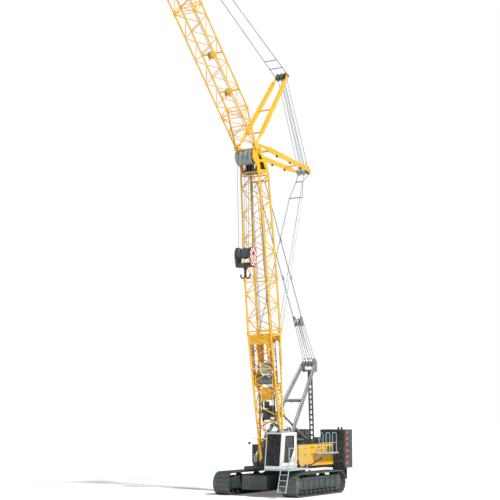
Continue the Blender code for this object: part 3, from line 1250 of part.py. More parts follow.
# ---------------------------------------------------------------- hooks
def hook_gear():
    """The head sheaves, which hang plumb, the hook block and its double hook."""
    hang = carrier("head_sheave_pin", at(0, HOOK_Y, HEAD_SHEAVE_HEIGHT), boom_hinge)
    pack = turned(sheave_profile(0.44, HEAD_SHEAVE_RADIUS, 0.06, 3, HEAD_PLATE[0]),
                  (HOOK_Y, HEAD_SHEAVE_HEIGHT), steps=16)
    piece("boom_head_sheaves", [pack], "steel_grey", hang,
          cuts=[cross_rod((HOOK_Y, HEAD_SHEAVE_HEIGHT), 0.6, bore_radius(BOOM_PIN_RADIUS, 16), 16)])

    hoist = carrier("hook_hoist", at(0, HOOK_Y, HOOK_BLOCK_TOP), hang)
    low, high, half = HOOK_BLOCK_BOTTOM, HOOK_BLOCK_TOP, HOOK_BLOCK_HALF_WIDTH
    radius = 0.36
    axle = high - radius - 0.02
    cheek = [(HOOK_Y - 0.22, low + 0.10), (HOOK_Y + 0.22, low + 0.10), (HOOK_Y + radius, axle - 0.25),
             *arc((HOOK_Y, axle), radius, 0, 180, 8), (HOOK_Y - radius, axle - 0.25)]
    solids = [plate(cheek, half - 0.06, half), plate(cheek, -half, -half + 0.06)]
    solids.append(turned(sheave_profile(half - 0.10, radius - 0.03, 0.06, 2, half - 0.04),
                         (HOOK_Y, axle), steps=16))
    solids.append(box((-half + 0.02, HOOK_Y - 0.20, low + 0.10), (half - 0.02, HOOK_Y + 0.20, low + 0.34)))
    solids.append(rod((0, HOOK_Y, low), (0, HOOK_Y, low + 0.15), 0.12, 16))
    swivel_bore = rod((0, HOOK_Y, low - 0.1), (0, HOOK_Y, low + 0.12), bore_radius(0.06, 16), 16)
    piece("hook_block", solids, "dark_green", hoist, cuts=[swivel_bore])

    swivel = carrier("hook_swivel", at(0, HOOK_Y, low), hoist)
    horn_z = low - 0.375
    horns = [rod((0, HOOK_Y, low + 0.12 - 0.0005), (0, HOOK_Y, horn_z + 0.02), 0.06, 16)]
    for side in (-1, 1):
        path = [(side * x, HOOK_Y, z) for x, z in arc((0.16, horn_z), 0.13, 200, 395, 12)]
        horns.append(pipe([(0, HOOK_Y, horn_z + 0.10), *path], 0.045))
    piece("double_hook", horns, "black", swivel)


def ball_hook_gear():
    """The jib head's sheave and the small hook that hangs under it."""
    y, z = JIB_HEAD_PIN.yz
    hang = carrier("jib_sheave_pin", at(0, y, z), jib_hinge)
    radius = 0.24
    piece("jib_head_sheave", [turned(sheave_profile(0.06, radius, 0.0, 1, JIB_CHEEK), (y, z), steps=16)],
          "steel_grey", hang,
          cuts=[cross_rod((y, z), 0.6, bore_radius(0.04, 12), 12)])
    rope_radius = 0.012
    rope_y = y - radius - rope_radius - FIT_GAP
    ball_z = z - BALL_HOOK_DROP
    plumb = carrier("jib_hook_pin", at(0, y, z), hang)
    upright = at(0, rope_y, ball_z) @ Matrix.Rotation(-math.pi / 2, 4, "Y")
    ball = [(0.26, 0.03), (0.12, 0.14), (-0.10, 0.16), (-0.22, 0.06), (-0.40, 0.035)]
    hook = [(0, rope_y, ball_z - 0.38), (0, rope_y - 0.10, ball_z - 0.46)]
    hook += [(0, rope_y + v, w) for v, w in arc((0, ball_z - 0.54), 0.12, 140, 380, 8)]
    piece("ball_hook", [turned(ball, (0, 0), steps=10, frame=upright),
                        rod((0, rope_y, ball_z + 0.2), (0, rope_y, z), rope_radius, 6),
                        pipe(hook, 0.028)], "dark_green", plumb)


def build():
    car_body()
    for side, word in ((1, "left"), (-1, "right")):
        track(side, f"track_{word}")
        track_frame(side, f"track_frame_{word}")
    ballast(-1, "front_ballast")
    ballast(1, "rear_ballast")
    main_frame()
    for y, z, name in DRUMS:
        winch_drum(y, z, name, carrier(f"{name}_axis", at(0, y, z), slew))
    machinery_house(1, LEFT_HOUSE_FRONT, HOUSE_OUTER, "machinery_house_left", "yellow")
    machinery_house(-1, RIGHT_HOUSE_FRONT, DECK_HALF_WIDTH, "machinery_house_right", "dark_green")
    engine()
    counterweights()
    gantry()
    gantry_strut()
    gantry_sheaves()
    cab()
    cab_door()
    platform()
    walkway()
    roof_gear()
    front_rail()
    boom_foot()
    boom_inserts()
    boom_head()
    name_boards()
    jib_drum = carrier("jib_luffing_drum_axis", BOOM @ at(0, 0, JIB_WINCH_STATION), boom_hinge)
    winch_drum(0, JIB_WINCH_STATION, "jib_luffing_drum", jib_drum, 0.47, 0.30, 0.53, BOOM)
    rear_mast()
    jib()
    front_mast()
    boom_pendants()
    backstops()
    hook_gear()
    ball_hook_gear()


build()
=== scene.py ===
# %% [markdown]
# # A crawler crane with a luffing jib
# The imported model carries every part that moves, bears load or is fastened. This lesson gives it its
# looks: full lattice lacing, track shoes, wire ropes, panels, a padded seat and painted finishes.
# Each new piece is a surface worked out with numpy and set into a mesh.

# %% Load the frame
import json
import math

import bpy
import numpy as np
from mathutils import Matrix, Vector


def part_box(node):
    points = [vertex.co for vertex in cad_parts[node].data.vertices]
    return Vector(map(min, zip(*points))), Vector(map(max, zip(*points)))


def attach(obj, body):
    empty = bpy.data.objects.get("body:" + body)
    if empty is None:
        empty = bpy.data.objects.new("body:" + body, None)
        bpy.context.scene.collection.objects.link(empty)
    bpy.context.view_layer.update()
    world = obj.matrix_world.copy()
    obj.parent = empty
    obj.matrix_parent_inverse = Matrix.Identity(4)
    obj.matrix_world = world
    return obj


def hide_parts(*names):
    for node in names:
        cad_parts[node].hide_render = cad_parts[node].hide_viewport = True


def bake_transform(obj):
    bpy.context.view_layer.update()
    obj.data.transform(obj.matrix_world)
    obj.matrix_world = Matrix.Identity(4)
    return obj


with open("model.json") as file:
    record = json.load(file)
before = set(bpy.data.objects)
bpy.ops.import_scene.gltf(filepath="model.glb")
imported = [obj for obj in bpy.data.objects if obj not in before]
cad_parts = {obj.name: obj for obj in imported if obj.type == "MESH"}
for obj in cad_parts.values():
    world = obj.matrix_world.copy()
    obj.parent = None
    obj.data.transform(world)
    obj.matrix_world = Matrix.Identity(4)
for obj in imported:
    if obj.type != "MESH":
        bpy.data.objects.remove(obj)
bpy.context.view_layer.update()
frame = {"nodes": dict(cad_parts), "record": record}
record = frame["record"]
joint = {entry["name"]: entry for entry in record["behaviour"]["joints"]}
BELLY = -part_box("track_left")[0][2]
print("nodes", len(frame["nodes"]), "belly height", round(BELLY, 3))

# %% [markdown]
# Heights on a machine are read from the ground, and the model's origin is on the car body's belly. So one
# helper turns a place into the model's own coordinates. The boom and the jib lean forward, and their
# parts are easiest to place by width, depth and the distance along them, so each gets its own axes.

# %% Places
BOOM_ANGLE = 83.14
JIB_ANGLE = 43.6


def at(x, y, z):
    """A point from its side offset, its distance behind the slewing axis and its height."""
    return np.array([x, y, z - BELLY])


def leaning(origin, angle):
    """Origin and turn of a member that rises forwards at an angle: columns are across, rearwards, along."""
    lean = math.radians(90 - angle)
    c, s = math.cos(lean), math.sin(lean)
    return np.array(origin), np.array([[1, 0, 0], [0, c, -s], [0, s, c]])


def put(points, place):
    """Points in a member's axes, as points of the model: origin + turn times point."""
    origin, turn = place
    return np.asarray(points, float) @ turn.T + origin


LEVEL = (at(0, 0, 0), np.eye(3))
BOOM = leaning(joint["boom_luff"]["pos_m"], BOOM_ANGLE)
JIB = leaning(joint["jib_luff"]["pos_m"], JIB_ANGLE)

# %% [markdown]
# A shape here is an array of corners and a list of arrays of faces, one array for each number of sides.
# Bars, rails, ropes and pins are all tubes, so the tube is worked out for many bars in one go.

# %% Shapes


def join(*shapes):
    """One shape from several: each shape's corner numbers are shifted by the corners before it."""
    corners, faces, shift = [], [], 0
    for points, groups in shapes:
        corners.append(points)
        faces += [group + shift for group in groups]
        shift += len(points)
    return np.concatenate(corners), faces


def ring_quads(rings, steps):
    """Quads of a grid of closed rings: a corner, the next one round, and the same two one ring on."""
    i = np.arange(rings - 1)[:, None] * steps
    j = np.arange(steps)[None]
    k = (j + 1) % steps
    return np.stack([i + j, i + k, i + k + steps, i + j + steps], -1).reshape(-1, 4)


def moved(shape, place):
    """The shape carried into a member's axes."""
    return put(shape[0], place), shape[1]


def mirrored(shape):
    """The shape and its mirror image across the middle plane, x to -x, with the faces turned round."""
    points, groups = shape
    return join(shape, (points * [-1, 1, 1], [group[:, ::-1] for group in groups]))


def tubes(starts, ends, radius, sides=8):
    """Round bars with flat ends: point = start or end + radius (cos a u + sin a v), where u and v are
    square to the bar and to each other."""
    starts, ends = np.atleast_2d(starts).astype(float), np.atleast_2d(ends).astype(float)
    along = ends - starts
    along /= np.linalg.norm(along, axis=1, keepdims=True)
    helper = np.where(np.abs(along[:, :1]) > 0.9, [[0.0, 1.0, 0.0]], [[1.0, 0.0, 0.0]])
    u = np.cross(along, helper)
    u /= np.linalg.norm(u, axis=1, keepdims=True)
    v = np.cross(along, u)
    angle = np.arange(sides) * 2 * math.pi / sides
    ring = np.cos(angle)[None, :, None] * u[:, None] + np.sin(angle)[None, :, None] * v[:, None]
    ring *= np.broadcast_to(np.asarray(radius, float).reshape(-1, 1, 1), (len(starts), 1, 1))
    points = np.concatenate([starts[:, None] + ring, ends[:, None] + ring], axis=1).reshape(-1, 3)
    first = np.arange(len(starts))[:, None] * 2 * sides
    i = np.arange(sides)
    j = (i + 1) % sides
    walls = np.stack([i, j, j + sides, i + sides], -1)
    quads = (first[:, :, None] + walls[None]).reshape(-1, 4)
    return points, [quads, first + i[::-1], first + sides + i]


def boxes(lows, highs):
    """Rectangular blocks: corner = low + share (high - low), each share 0 or 1."""
    lows, highs = np.atleast_2d(lows).astype(float), np.atleast_2d(highs).astype(float)
    share = np.array([[x, y, z] for z in (0, 1) for y in (0, 1) for x in (0, 1)], float)
    points = (lows[:, None] + share[None] * (highs - lows)[:, None]).reshape(-1, 3)
    sides = np.array([[0, 2, 3, 1], [4, 5, 7, 6], [0, 1, 5, 4], [2, 6, 7, 3], [0, 4, 6, 2], [1, 3, 7, 5]])
    first = np.arange(len(lows))[:, None, None] * 8
    return points, [(first + sides[None]).reshape(-1, 4)]


def slab(outline, low, high):
    """A flat plate square to X: its outline of (y, z) points, run clockwise or not, from x = low to high."""
    outline = np.asarray(outline, float)
    y, z = outline.T
    if np.sum(y * np.roll(z, -1) - z * np.roll(y, -1)) < 0:
        outline = outline[::-1]
    count = len(outline)
    points = np.concatenate([np.insert(outline, 0, x, axis=1) for x in (low, high)])
    i = np.arange(count)
    j = (i + 1) % count
    return points, [np.stack([i, j, j + count, i + count], -1), i[None, ::-1], i[None] + count]


def turned(profile, centre, steps=48):
    """A turned shape about a line along X: for each (x, r) of the profile, and the angle a round it,
    point = centre + (x, r cos a, r sin a)."""
    profile = np.asarray(profile, float)
    angle = np.arange(steps) * 2 * math.pi / steps
    x = np.repeat(profile[:, :1], steps, axis=1)
    y, z = profile[:, 1:] * np.cos(angle), profile[:, 1:] * np.sin(angle)
    points = np.stack([x, y, z], -1).reshape(-1, 3) + centre
    quads = ring_quads(len(profile), steps)
    ring = np.arange(steps)[None]
    last = (len(profile) - 1) * steps + ring
    if profile[0, 0] > profile[-1, 0]:
        return points, [quads[:, ::-1], ring, last[:, ::-1]]
    return points, [quads, ring[:, ::-1], last]


def path_frames(path):
    """Side and upward directions along a path: the side is square to the path and to one fixed line."""
    tangent = np.gradient(path, axis=0)
    tangent /= np.linalg.norm(tangent, axis=1, keepdims=True)
    spread = np.ptp(path, axis=0)
    helper = np.eye(3)[int(np.argmin(spread))]
    side = np.cross(tangent, helper)
    side /= np.linalg.norm(side, axis=1, keepdims=True)
    return side, np.cross(tangent, side)


def swept(path, radius, sides=8):
    """A bent tube: a circle of the radius carried along the path, square to it, with flat ends."""
    path = np.asarray(path, float)
    side, upward = path_frames(path)
    angle = np.arange(sides) * 2 * math.pi / sides
    radius = np.broadcast_to(np.asarray(radius, float), (len(path),))[:, None, None]
    ring = np.cos(angle)[None, :, None] * side[:, None] + np.sin(angle)[None, :, None] * upward[:, None]
    points = (path[:, None] + radius * ring).reshape(-1, 3)
    first = np.arange(sides)[None]
    return points, [ring_quads(len(path), sides), first[:, ::-1], (len(path) - 1) * sides + first]


def arc(centre, radius, first, last, count):
    """Points (y, z) on a circle, from the first to the last angle in degrees."""
    angle = np.radians(np.linspace(first, last, count))
    return np.stack([centre[0] + radius * np.cos(angle), centre[1] + radius * np.sin(angle)], -1)


# %% [markdown]
# Paint on a working machine is never one colour: sun fades it in broad patches, rain draws dirt down it,
# and chips show the primer. One recipe gives all of that, with a colour and an amount of wear for each
# finish. It could be painted by hand, but noise on the object's own coordinates fits every piece.

# %% Finishes
FINISH = {}


def link(tree, source, output, target, socket):
    """Join one node's output to another's input, both by name."""
    tree.links.new(source.outputs[output], target.inputs[socket])


def noise(tree, scale, detail, stretch=(1, 1, 1)):
    """A noise over the object's coordinates, squeezed by the stretch."""
    place = tree.nodes.new("ShaderNodeTexCoord")
    mapping = tree.nodes.new("ShaderNodeMapping")
    mapping.inputs["Scale"].default_value = stretch
    texture = tree.nodes.new("ShaderNodeTexNoise")
    texture.inputs["Scale"].default_value = scale
    texture.inputs["Detail"].default_value = detail
    link(tree, place, "Object", mapping, "Vector")
    link(tree, mapping, "Vector", texture, "Vector")
    return texture


def ramp(tree, source, output, low, high, first=0.0, last=1.0):
    """A value that goes from first to last while the source goes from low to high."""
    node = tree.nodes.new("ShaderNodeMapRange")
    node.inputs["From Min"].default_value = low
    node.inputs["From Max"].default_value = high
    node.inputs["To Min"].default_value = first
    node.inputs["To Max"].default_value = last
    link(tree, source, output, node, "Value")
    return node


def blended(tree, factor, output, first, second):
    """A mix of two colours by a factor. A colour is a node or three numbers."""
    node = tree.nodes.new("ShaderNodeMix")
    node.data_type = "RGBA"
    link(tree, factor, output, node, "Factor")
    for socket, colour in ((6, first), (7, second)):
        if isinstance(colour, tuple):
            node.inputs[socket].default_value = (*colour, 1)
        else:
            tree.links.new(colour.outputs[2], node.inputs[socket])
    return node


def new_finish(name, roughness, metallic=0.0):
    """An empty finish under its name: returns its node tree and its shader."""
    material = bpy.data.materials.new(name)
    material.use_nodes = True
    shader = material.node_tree.nodes["Principled BSDF"]
    shader.inputs["Metallic"].default_value = metallic
    shader.inputs["Roughness"].default_value = roughness
    FINISH[name] = material
    return material.node_tree, shader


def bumped(tree, shader, height, output, strength, distance):
    """Raise the surface by a height value, up to a distance in metres."""
    bump = tree.nodes.new("ShaderNodeBump")
    bump.inputs["Strength"].default_value = strength
    bump.inputs["Distance"].default_value = distance
    link(tree, height, output, bump, "Height")
    link(tree, bump, "Normal", shader, "Normal")


def worn(name, colour, faded, dirt, chip, roughness, metallic=0.0, amount=1.0, grain=60.0):
    """Paint or steel with faded patches, rain streaks of dirt, chips, uneven gloss and a fine grain."""
    tree, shader = new_finish(name, roughness, metallic)
    patches = ramp(tree, noise(tree, 0.9, 4), "Fac", 0.35, 0.70)
    base = blended(tree, patches, "Result", colour, faded)
    streaks = ramp(tree, noise(tree, 2.2, 6, (3.0, 3.0, 0.35)), "Fac", 0.50, 0.80, 0, 0.55 * amount)
    dirty = blended(tree, streaks, "Result", base, dirt)
    chips = ramp(tree, noise(tree, 14, 8), "Fac", 0.71 - 0.03 * amount, 0.73 - 0.03 * amount)
    top = blended(tree, chips, "Result", dirty, chip)
    tree.links.new(top.outputs[2], shader.inputs["Base Color"])
    gloss = ramp(tree, noise(tree, 5, 5), "Fac", 0.3, 0.7, roughness - 0.08, min(roughness + 0.14, 0.95))
    link(tree, gloss, "Result", shader, "Roughness")
    bumped(tree, shader, noise(tree, grain, 3), "Fac", 0.25, 0.002)


worn("yellow_paint", (0.90, 0.46, 0.012), (0.95, 0.53, 0.030), (0.40, 0.22, 0.05), (0.26, 0.15, 0.08),
     0.32, amount=0.5)
worn("dark_green_paint", (0.040, 0.052, 0.050), (0.070, 0.085, 0.082), (0.13, 0.12, 0.10),
     (0.20, 0.19, 0.17), 0.48, amount=0.6)
worn("track_steel", (0.085, 0.10, 0.098), (0.14, 0.16, 0.155), (0.18, 0.16, 0.13), (0.24, 0.19, 0.14),
     0.48, 0.3, 0.9, 30)
worn("off_white_paint", (0.80, 0.78, 0.72), (0.85, 0.84, 0.80), (0.50, 0.46, 0.39), (0.38, 0.34, 0.30),
     0.34, amount=0.5)
worn("light_grey_paint", (0.36, 0.45, 0.48), (0.45, 0.54, 0.57), (0.26, 0.27, 0.25), (0.22, 0.21, 0.20),
     0.42, amount=0.7)
worn("grey_steel", (0.26, 0.29, 0.29), (0.34, 0.37, 0.37), (0.15, 0.14, 0.13), (0.38, 0.38, 0.36), 0.38,
     0.4, 0.8)
worn("black_paint", (0.022, 0.023, 0.025), (0.05, 0.05, 0.05), (0.12, 0.11, 0.10), (0.22, 0.20, 0.18), 0.46)
worn("red_paint", (0.62, 0.03, 0.025), (0.70, 0.07, 0.05), (0.30, 0.08, 0.06), (0.75, 0.72, 0.68), 0.42,
     amount=0.5)
worn("black_rubber", (0.018, 0.018, 0.018), (0.035, 0.035, 0.034), (0.09, 0.085, 0.08), (0.05, 0.05, 0.05),
     0.74, grain=120)
print("painted finishes", sorted(FINISH))

# %% [markdown]
# Glass needs no wear, only a little dust. The seat cover is woven: two waves at right angles raise the
# threads. The wire rope's strands run round it, so its wave follows the rope's own UV map.

# %% Glass, cover, rope, stripes and lamps


def dusted(name, roughness, colour, dusty, metallic=0.0):
    """A clean material whose colour turns dusty in soft patches."""
    tree, shader = new_finish(name, roughness, metallic)
    dust = ramp(tree, noise(tree, 3, 5), "Fac", 0.45, 0.75)
    top = blended(tree, dust, "Result", colour, dusty)
    tree.links.new(top.outputs[2], shader.inputs["Base Color"])
    return tree, shader


def cab_glass():
    """Tinted glass that lets a little of the cab show through."""
    tree, glass = dusted("dark_glass", 0.06, (0.022, 0.028, 0.032), (0.05, 0.055, 0.055))
    glass.inputs["Specular IOR Level"].default_value = 0.7
    glass.inputs["Alpha"].default_value = 0.72
    bumped(tree, glass, noise(tree, 1.5, 2), "Fac", 0.05, 0.002)


def lamp_cover(name, roughness, colour, dusty, grain, metallic=0.0, depth=0.002):
    """Ribbed plastic or glass over a lamp: a fine noise breaks up its highlight."""
    tree, lens = dusted(name, roughness, colour, dusty, metallic)
    bumped(tree, lens, noise(tree, grain, 1), "Fac", 0.3, depth)


def seat_cover(thread=260.0):
    """Woven cloth: the height is the product of two waves at right angles, so threads cross."""
    tree, cover = dusted("seat_fabric", 0.88, (0.030, 0.031, 0.036), (0.075, 0.073, 0.070))
    cover.inputs["Sheen Weight"].default_value = 0.3
    coordinates = tree.nodes.new("ShaderNodeTexCoord")
    waves = []
    for direction in ("X", "Z"):
        wave = tree.nodes.new("ShaderNodeTexWave")
        wave.bands_direction = direction
        wave.inputs["Scale"].default_value = thread
        wave.inputs["Distortion"].default_value = 1.0
        link(tree, coordinates, "Object", wave, "Vector")
        waves.append(wave)
    weave = tree.nodes.new("ShaderNodeMath")
    weave.operation = "MULTIPLY"
    tree.links.new(waves[0].outputs["Fac"], weave.inputs[0])
    tree.links.new(waves[1].outputs["Fac"], weave.inputs[1])
    bumped(tree, cover, weave, "Value", 0.6, 0.002)


def stranded_wire():
    """Greased steel strands: a slanted wave on the rope's own UV map, dark in the grooves."""
    tree, wire = new_finish("wire_rope", 0.42, 0.75)
    coordinates = tree.nodes.new("ShaderNodeTexCoord")
    strands = tree.nodes.new("ShaderNodeTexWave")
    strands.bands_direction = "DIAGONAL"
    strands.inputs["Scale"].default_value = 1.0
    link(tree, coordinates, "UV", strands, "Vector")
    greased = blended(tree, strands, "Fac", (0.10, 0.105, 0.11), (0.30, 0.31, 0.32))
    tree.links.new(greased.outputs[2], wire.inputs["Base Color"])
    bumped(tree, wire, strands, "Fac", 0.8, 0.004)


def warning_stripes(stripe=0.13):
    """Red and white stripes at 45 degrees: y + z folded to and fro over one stripe, cut at its middle."""
    tree, striped = new_finish("hazard_stripes", 0.42)
    coordinates = tree.nodes.new("ShaderNodeTexCoord")
    split = tree.nodes.new("ShaderNodeSeparateXYZ")
    link(tree, coordinates, "Object", split, "Vector")
    slant = tree.nodes.new("ShaderNodeMath")
    slant.operation = "ADD"
    tree.links.new(split.outputs["Y"], slant.inputs[0])
    tree.links.new(split.outputs["Z"], slant.inputs[1])
    fold = tree.nodes.new("ShaderNodeMath")
    fold.operation = "PINGPONG"
    fold.inputs[1].default_value = stripe
    link(tree, slant, "Value", fold, 0)
    edge = ramp(tree, fold, "Value", stripe * 0.48, stripe * 0.52)
    bars = blended(tree, edge, "Result", (0.66, 0.035, 0.03), (0.86, 0.85, 0.82))
    scuffs = ramp(tree, noise(tree, 9, 6), "Fac", 0.55, 0.75, 0, 0.7)
    top = blended(tree, scuffs, "Result", bars, (0.30, 0.27, 0.24))
    tree.links.new(top.outputs[2], striped.inputs["Base Color"])
    bumped(tree, striped, noise(tree, 60, 3), "Fac", 0.2, 0.002)


cab_glass()
lamp_cover("amber_lens", 0.12, (0.95, 0.28, 0.02), (0.80, 0.30, 0.08), 90)
lamp_cover("green_lens", 0.12, (0.03, 0.40, 0.12), (0.06, 0.35, 0.15), 90)
lamp_cover("lamp_glass", 0.08, (0.80, 0.82, 0.82), (0.62, 0.62, 0.58), 60, 0.3, 0.003)
seat_cover()
stranded_wire()
warning_stripes()
print("all finishes", len(FINISH))

# %% [markdown]
# The mesh maker puts a shape into the scene, says what it rides on and which finish it takes. Box-like
# pieces get a small bevel, because an edge that catches light looks like folded or cut steel.

# %% Mesh maker
made = {}


def make(name, body, shape, finish, bevel=0.0, smooth=False, stands_for=()):
    """A new piece from a shape, riding on a body. With a bevel, its sharp edges are rounded by that width."""
    points, groups = shape
    mesh = bpy.data.meshes.new(name)
    mesh.from_pydata(points.tolist(), [], [face for group in groups for face in group.tolist()])
    mesh.polygons.foreach_set("use_smooth", np.full(len(mesh.polygons), smooth))
    mesh.materials.append(FINISH[finish])
    piece = bpy.data.objects.new(name, mesh)
    bpy.context.scene.collection.objects.link(piece)
    if smooth:
        mesh.set_sharp_from_angle(angle=math.radians(35))
    if bevel:
        rounding = piece.modifiers.new("rounding", "BEVEL")
        rounding.width = bevel
        rounding.segments = 2
        rounding.limit_method = "ANGLE"
    if body:
        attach(piece, body)
    if stands_for:
        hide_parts(*stands_for)
    made[name] = len(mesh.polygons)
    return piece


# %% [markdown]
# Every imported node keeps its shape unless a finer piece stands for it, and takes the worn finish of its
# slot. The record says which slot each node has.

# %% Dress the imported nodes
for entry in record["subparts"]:
    mesh = frame["nodes"][entry["node"]].data
    mesh.materials.clear()
    mesh.materials.append(FINISH[entry["material_slot"]])
print("dressed", len(record["subparts"]), "nodes")

# %% [markdown]
# ## Lattice sections
# A lattice section has four chords and, on each face, one zigzag of lacing tubes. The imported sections
# carry only a few thick bars for weight and collision. Here each face gets its full zigzag. Opposite
# faces lean opposite ways, so that the lacing crosses when seen through. At a joint there are double
# frames, and fork ends with pins on the chords.

# %% Lattice helper
FORK_LENGTH = 0.10


def chord_points(half_width, rear, front, stations):
    """The four chords' points at stations along a member: front left, front right, rear right, rear left."""
    stations, half_width, rear, front = np.broadcast_arrays(stations, half_width, rear, front)
    sides = ((-1, front), (1, front), (1, rear), (-1, rear))
    return np.stack([np.stack([s * half_width, depth, stations], -1) for s, depth in sides])


def laced(corners, low, high, bays, chord, lace, place, frames=(0.0, 1.0)):
    """Chords, zigzags and end frames from one station to another; corners gives the chords at stations."""
    ends = corners(np.array([low, high]))
    shapes = [tubes(ends[:, 0], ends[:, 1], chord, 12)]
    inset = FORK_LENGTH / (high - low)
    share = np.linspace(inset, 1 - inset, bays + 1)
    nodes = corners(low + (high - low) * share)
    for face in range(4):
        flip = (np.arange(bays + 1) + face // 2) % 2
        path = np.where(flip[:, None], nodes[face], nodes[(face + 1) % 4])
        shapes.append(tubes(path[:-1], path[1:], lace, 8))
    for fraction in frames:
        station = low + (high - low) * (inset + fraction * (1 - 2 * inset))
        ring = corners(np.array([station]))[:, 0]
        shapes.append(tubes(ring, np.roll(ring, -1, axis=0), lace * 1.1, 8))
    return moved(join(*shapes), place)


def forks(corners, station, chord, place):
    """Fork ends either side of a joint: two fat sleeves and a cross pin on each chord."""
    reach = np.array([station - FORK_LENGTH, station - 0.012, station + 0.012, station + FORK_LENGTH])
    line = corners(reach)
    sleeves = tubes(line[:, [0, 2]].reshape(-1, 3), line[:, [1, 3]].reshape(-1, 3), chord * 1.28, 12)
    middle = corners(np.array([station]))[:, 0]
    pins = tubes(middle - [chord * 1.9, 0, 0], middle + [chord * 1.9, 0, 0], chord * 0.5, 8)
    return moved(join(sleeves, pins), place)


# %% [markdown]
# The boom is a foot section that spreads from its pivot, a short and a long insert, and a head. One rule
# gives the chords' width and depth at any distance along it, so each section is laced by the same helper
# and its ends meet the next one's. Drawing each section by hand would let them drift apart.

# %% Boom sections
BOOM_WIDTH, BOOM_TOP_WIDTH, BOOM_DEPTH = 1.45, 1.16, 1.09
FOOT_LENGTH, INSERT_START, HEAD_START = 7.21, 10.21, 16.21
CHORD, LACE = 0.055, 0.027
FOOT_STATION = 1.1
WINCH_STATION = 4.55


def boom_chords(stations):
    """Boom chords: the depth grows in a straight line over the foot section, and the width narrows in a
    straight line over the long insert."""
    stations = np.asarray(stations, float)
    depth = BOOM_DEPTH / 2 * np.minimum(1, stations / FOOT_LENGTH)
    narrowing = np.clip((stations - INSERT_START) / (HEAD_START - INSERT_START), 0, 1)
    half = BOOM_WIDTH / 2 + (BOOM_TOP_WIDTH - BOOM_WIDTH) / 2 * narrowing
    return chord_points(half, depth, -depth, stations)


def boom_foot():
    """Foot bosses and plates, chords that spread from them, cross tubes, winch stands and stop lugs."""
    half = BOOM_WIDTH / 2
    boss = [(half - 0.06, 0.055), (half - 0.06, 0.12), (half - 0.05, 0.13), (half + 0.05, 0.13),
            (half + 0.06, 0.12), (half + 0.06, 0.055)]
    side = join(
        turned(boss, (0, 0, 0), 32),
        slab([(-0.10, 0.08), (0.10, 0.08), (0.14, 1.30), (-0.14, 1.30)], half - 0.035, half + 0.035),
        slab([(-0.36, WINCH_STATION - 0.42), (0.36, WINCH_STATION - 0.42),
              *arc((0, WINCH_STATION + 0.10), 0.40, 20, 160, 9)],
             0.53, 0.57),
        boxes([(0.54, -0.05, WINCH_STATION - 0.46), (0.54, -0.05, WINCH_STATION + 0.36)],
              [(half, 0.05, WINCH_STATION - 0.36), (half, 0.05, WINCH_STATION + 0.46)]),
        slab([(0.22, 2.70), (0.32, 2.63), (0.54, 2.67), (0.54, 2.73), (0.28, 2.79)], 0.606, 0.636),
    )
    bars = []
    cross_tubes = ((1.25, 0.05, (0, 1)), (2.70, 0.045, (2, 3)), (2.20, 0.035, (0, 1)),
                   (3.95, 0.035, (0, 1)), (3.95, 0.035, (2, 3)), (5.2, 0.035, (0, 1)), (5.2, 0.035, (2, 3)))
    for station, tube, pair in cross_tubes:
        points = boom_chords(np.array([station]))[:, 0]
        bars.append(tubes(points[pair[0]], points[pair[1]], tube, 10))
    return moved(join(mirrored(side), *bars), BOOM)


make("boom_foot_lattice", "boom",
     join(laced(boom_chords, FOOT_STATION, FOOT_LENGTH, 9, CHORD, LACE, BOOM, (0.0, 0.985, 1.0)),
          boom_foot()),
     "yellow_paint", smooth=True, stands_for=["boom_foot_section"])
make("boom_lower_lattice", "boom",
     join(laced(boom_chords, FOOT_LENGTH, INSERT_START, 4, CHORD, LACE, BOOM),
          forks(boom_chords, FOOT_LENGTH, CHORD, BOOM)),
     "yellow_paint", smooth=True, stands_for=["boom_short_insert"])
make("boom_upper_lattice", "boom",
     join(laced(boom_chords, INSERT_START, HEAD_START, 8, CHORD, LACE, BOOM),
          forks(boom_chords, INSERT_START, CHORD, BOOM),
          moved(mirrored(boxes([(0.238, 0.545, 15.74), (0.288, 0.545, 15.74)],
                               [(0.252, 0.685, 15.86), (0.302, 0.685, 15.86)])), BOOM),
          moved(tubes((-0.59, 0.545, 15.80), (0.59, 0.545, 15.80), 0.05, 10), BOOM)),
     "yellow_paint", smooth=True, stands_for=["boom_long_insert"])
print("boom faces", made["boom_foot_lattice"], made["boom_lower_lattice"], made["boom_upper_lattice"])

# %% [markdown]
# The jib is lighter: a foot section that rises from flat to full depth, a long straight run and a head
# that narrows both ways. Its rule for the chords differs, but the lacing helper is the boom's.

# %% Jib sections
JIB_WIDTH, JIB_DEPTH = 1.30, 0.80
JIB_FOOT, JIB_TAPER, JIB_LENGTH = 2.10, 15.30, 17.90
JIB_CHORD, JIB_LACE = 0.045, 0.022
JIB_TIP = JIB_LENGTH - 0.55


def jib_chords(stations):
    """Jib chords: the rear ones rise over the foot section, and the head section narrows both ways."""
    stations = np.asarray(stations, float)
    share = np.clip((stations - JIB_TAPER) / (JIB_LENGTH - JIB_TAPER), 0, 1)
    rear = JIB_DEPTH * np.minimum(1, stations / JIB_FOOT) * (1 - 0.45 * share)
    return chord_points(JIB_WIDTH / 2 * (1 - 0.55 * share), rear, 0.05 * share, stations)


def jib_foot():
    """Foot bosses, the chords that spread from them, and the brackets that carry the front mast."""
    half = JIB_WIDTH / 2
    boss = [(0.576, 0.055), (0.576, 0.12), (0.59, 0.13), (half + 0.05, 0.13), (half + 0.06, 0.12),
            (half + 0.06, 0.055)]
    mast_foot = 0.37
    side = join(turned(boss, (0, 0, 0), 32),
                slab([(0.0, -0.11), (-0.02, 0.12), (mast_foot - 0.04, 0.14), (mast_foot, 0.0),
                      (0.22, -0.11)],
                     0.596, half))
    return moved(mirrored(side), JIB)


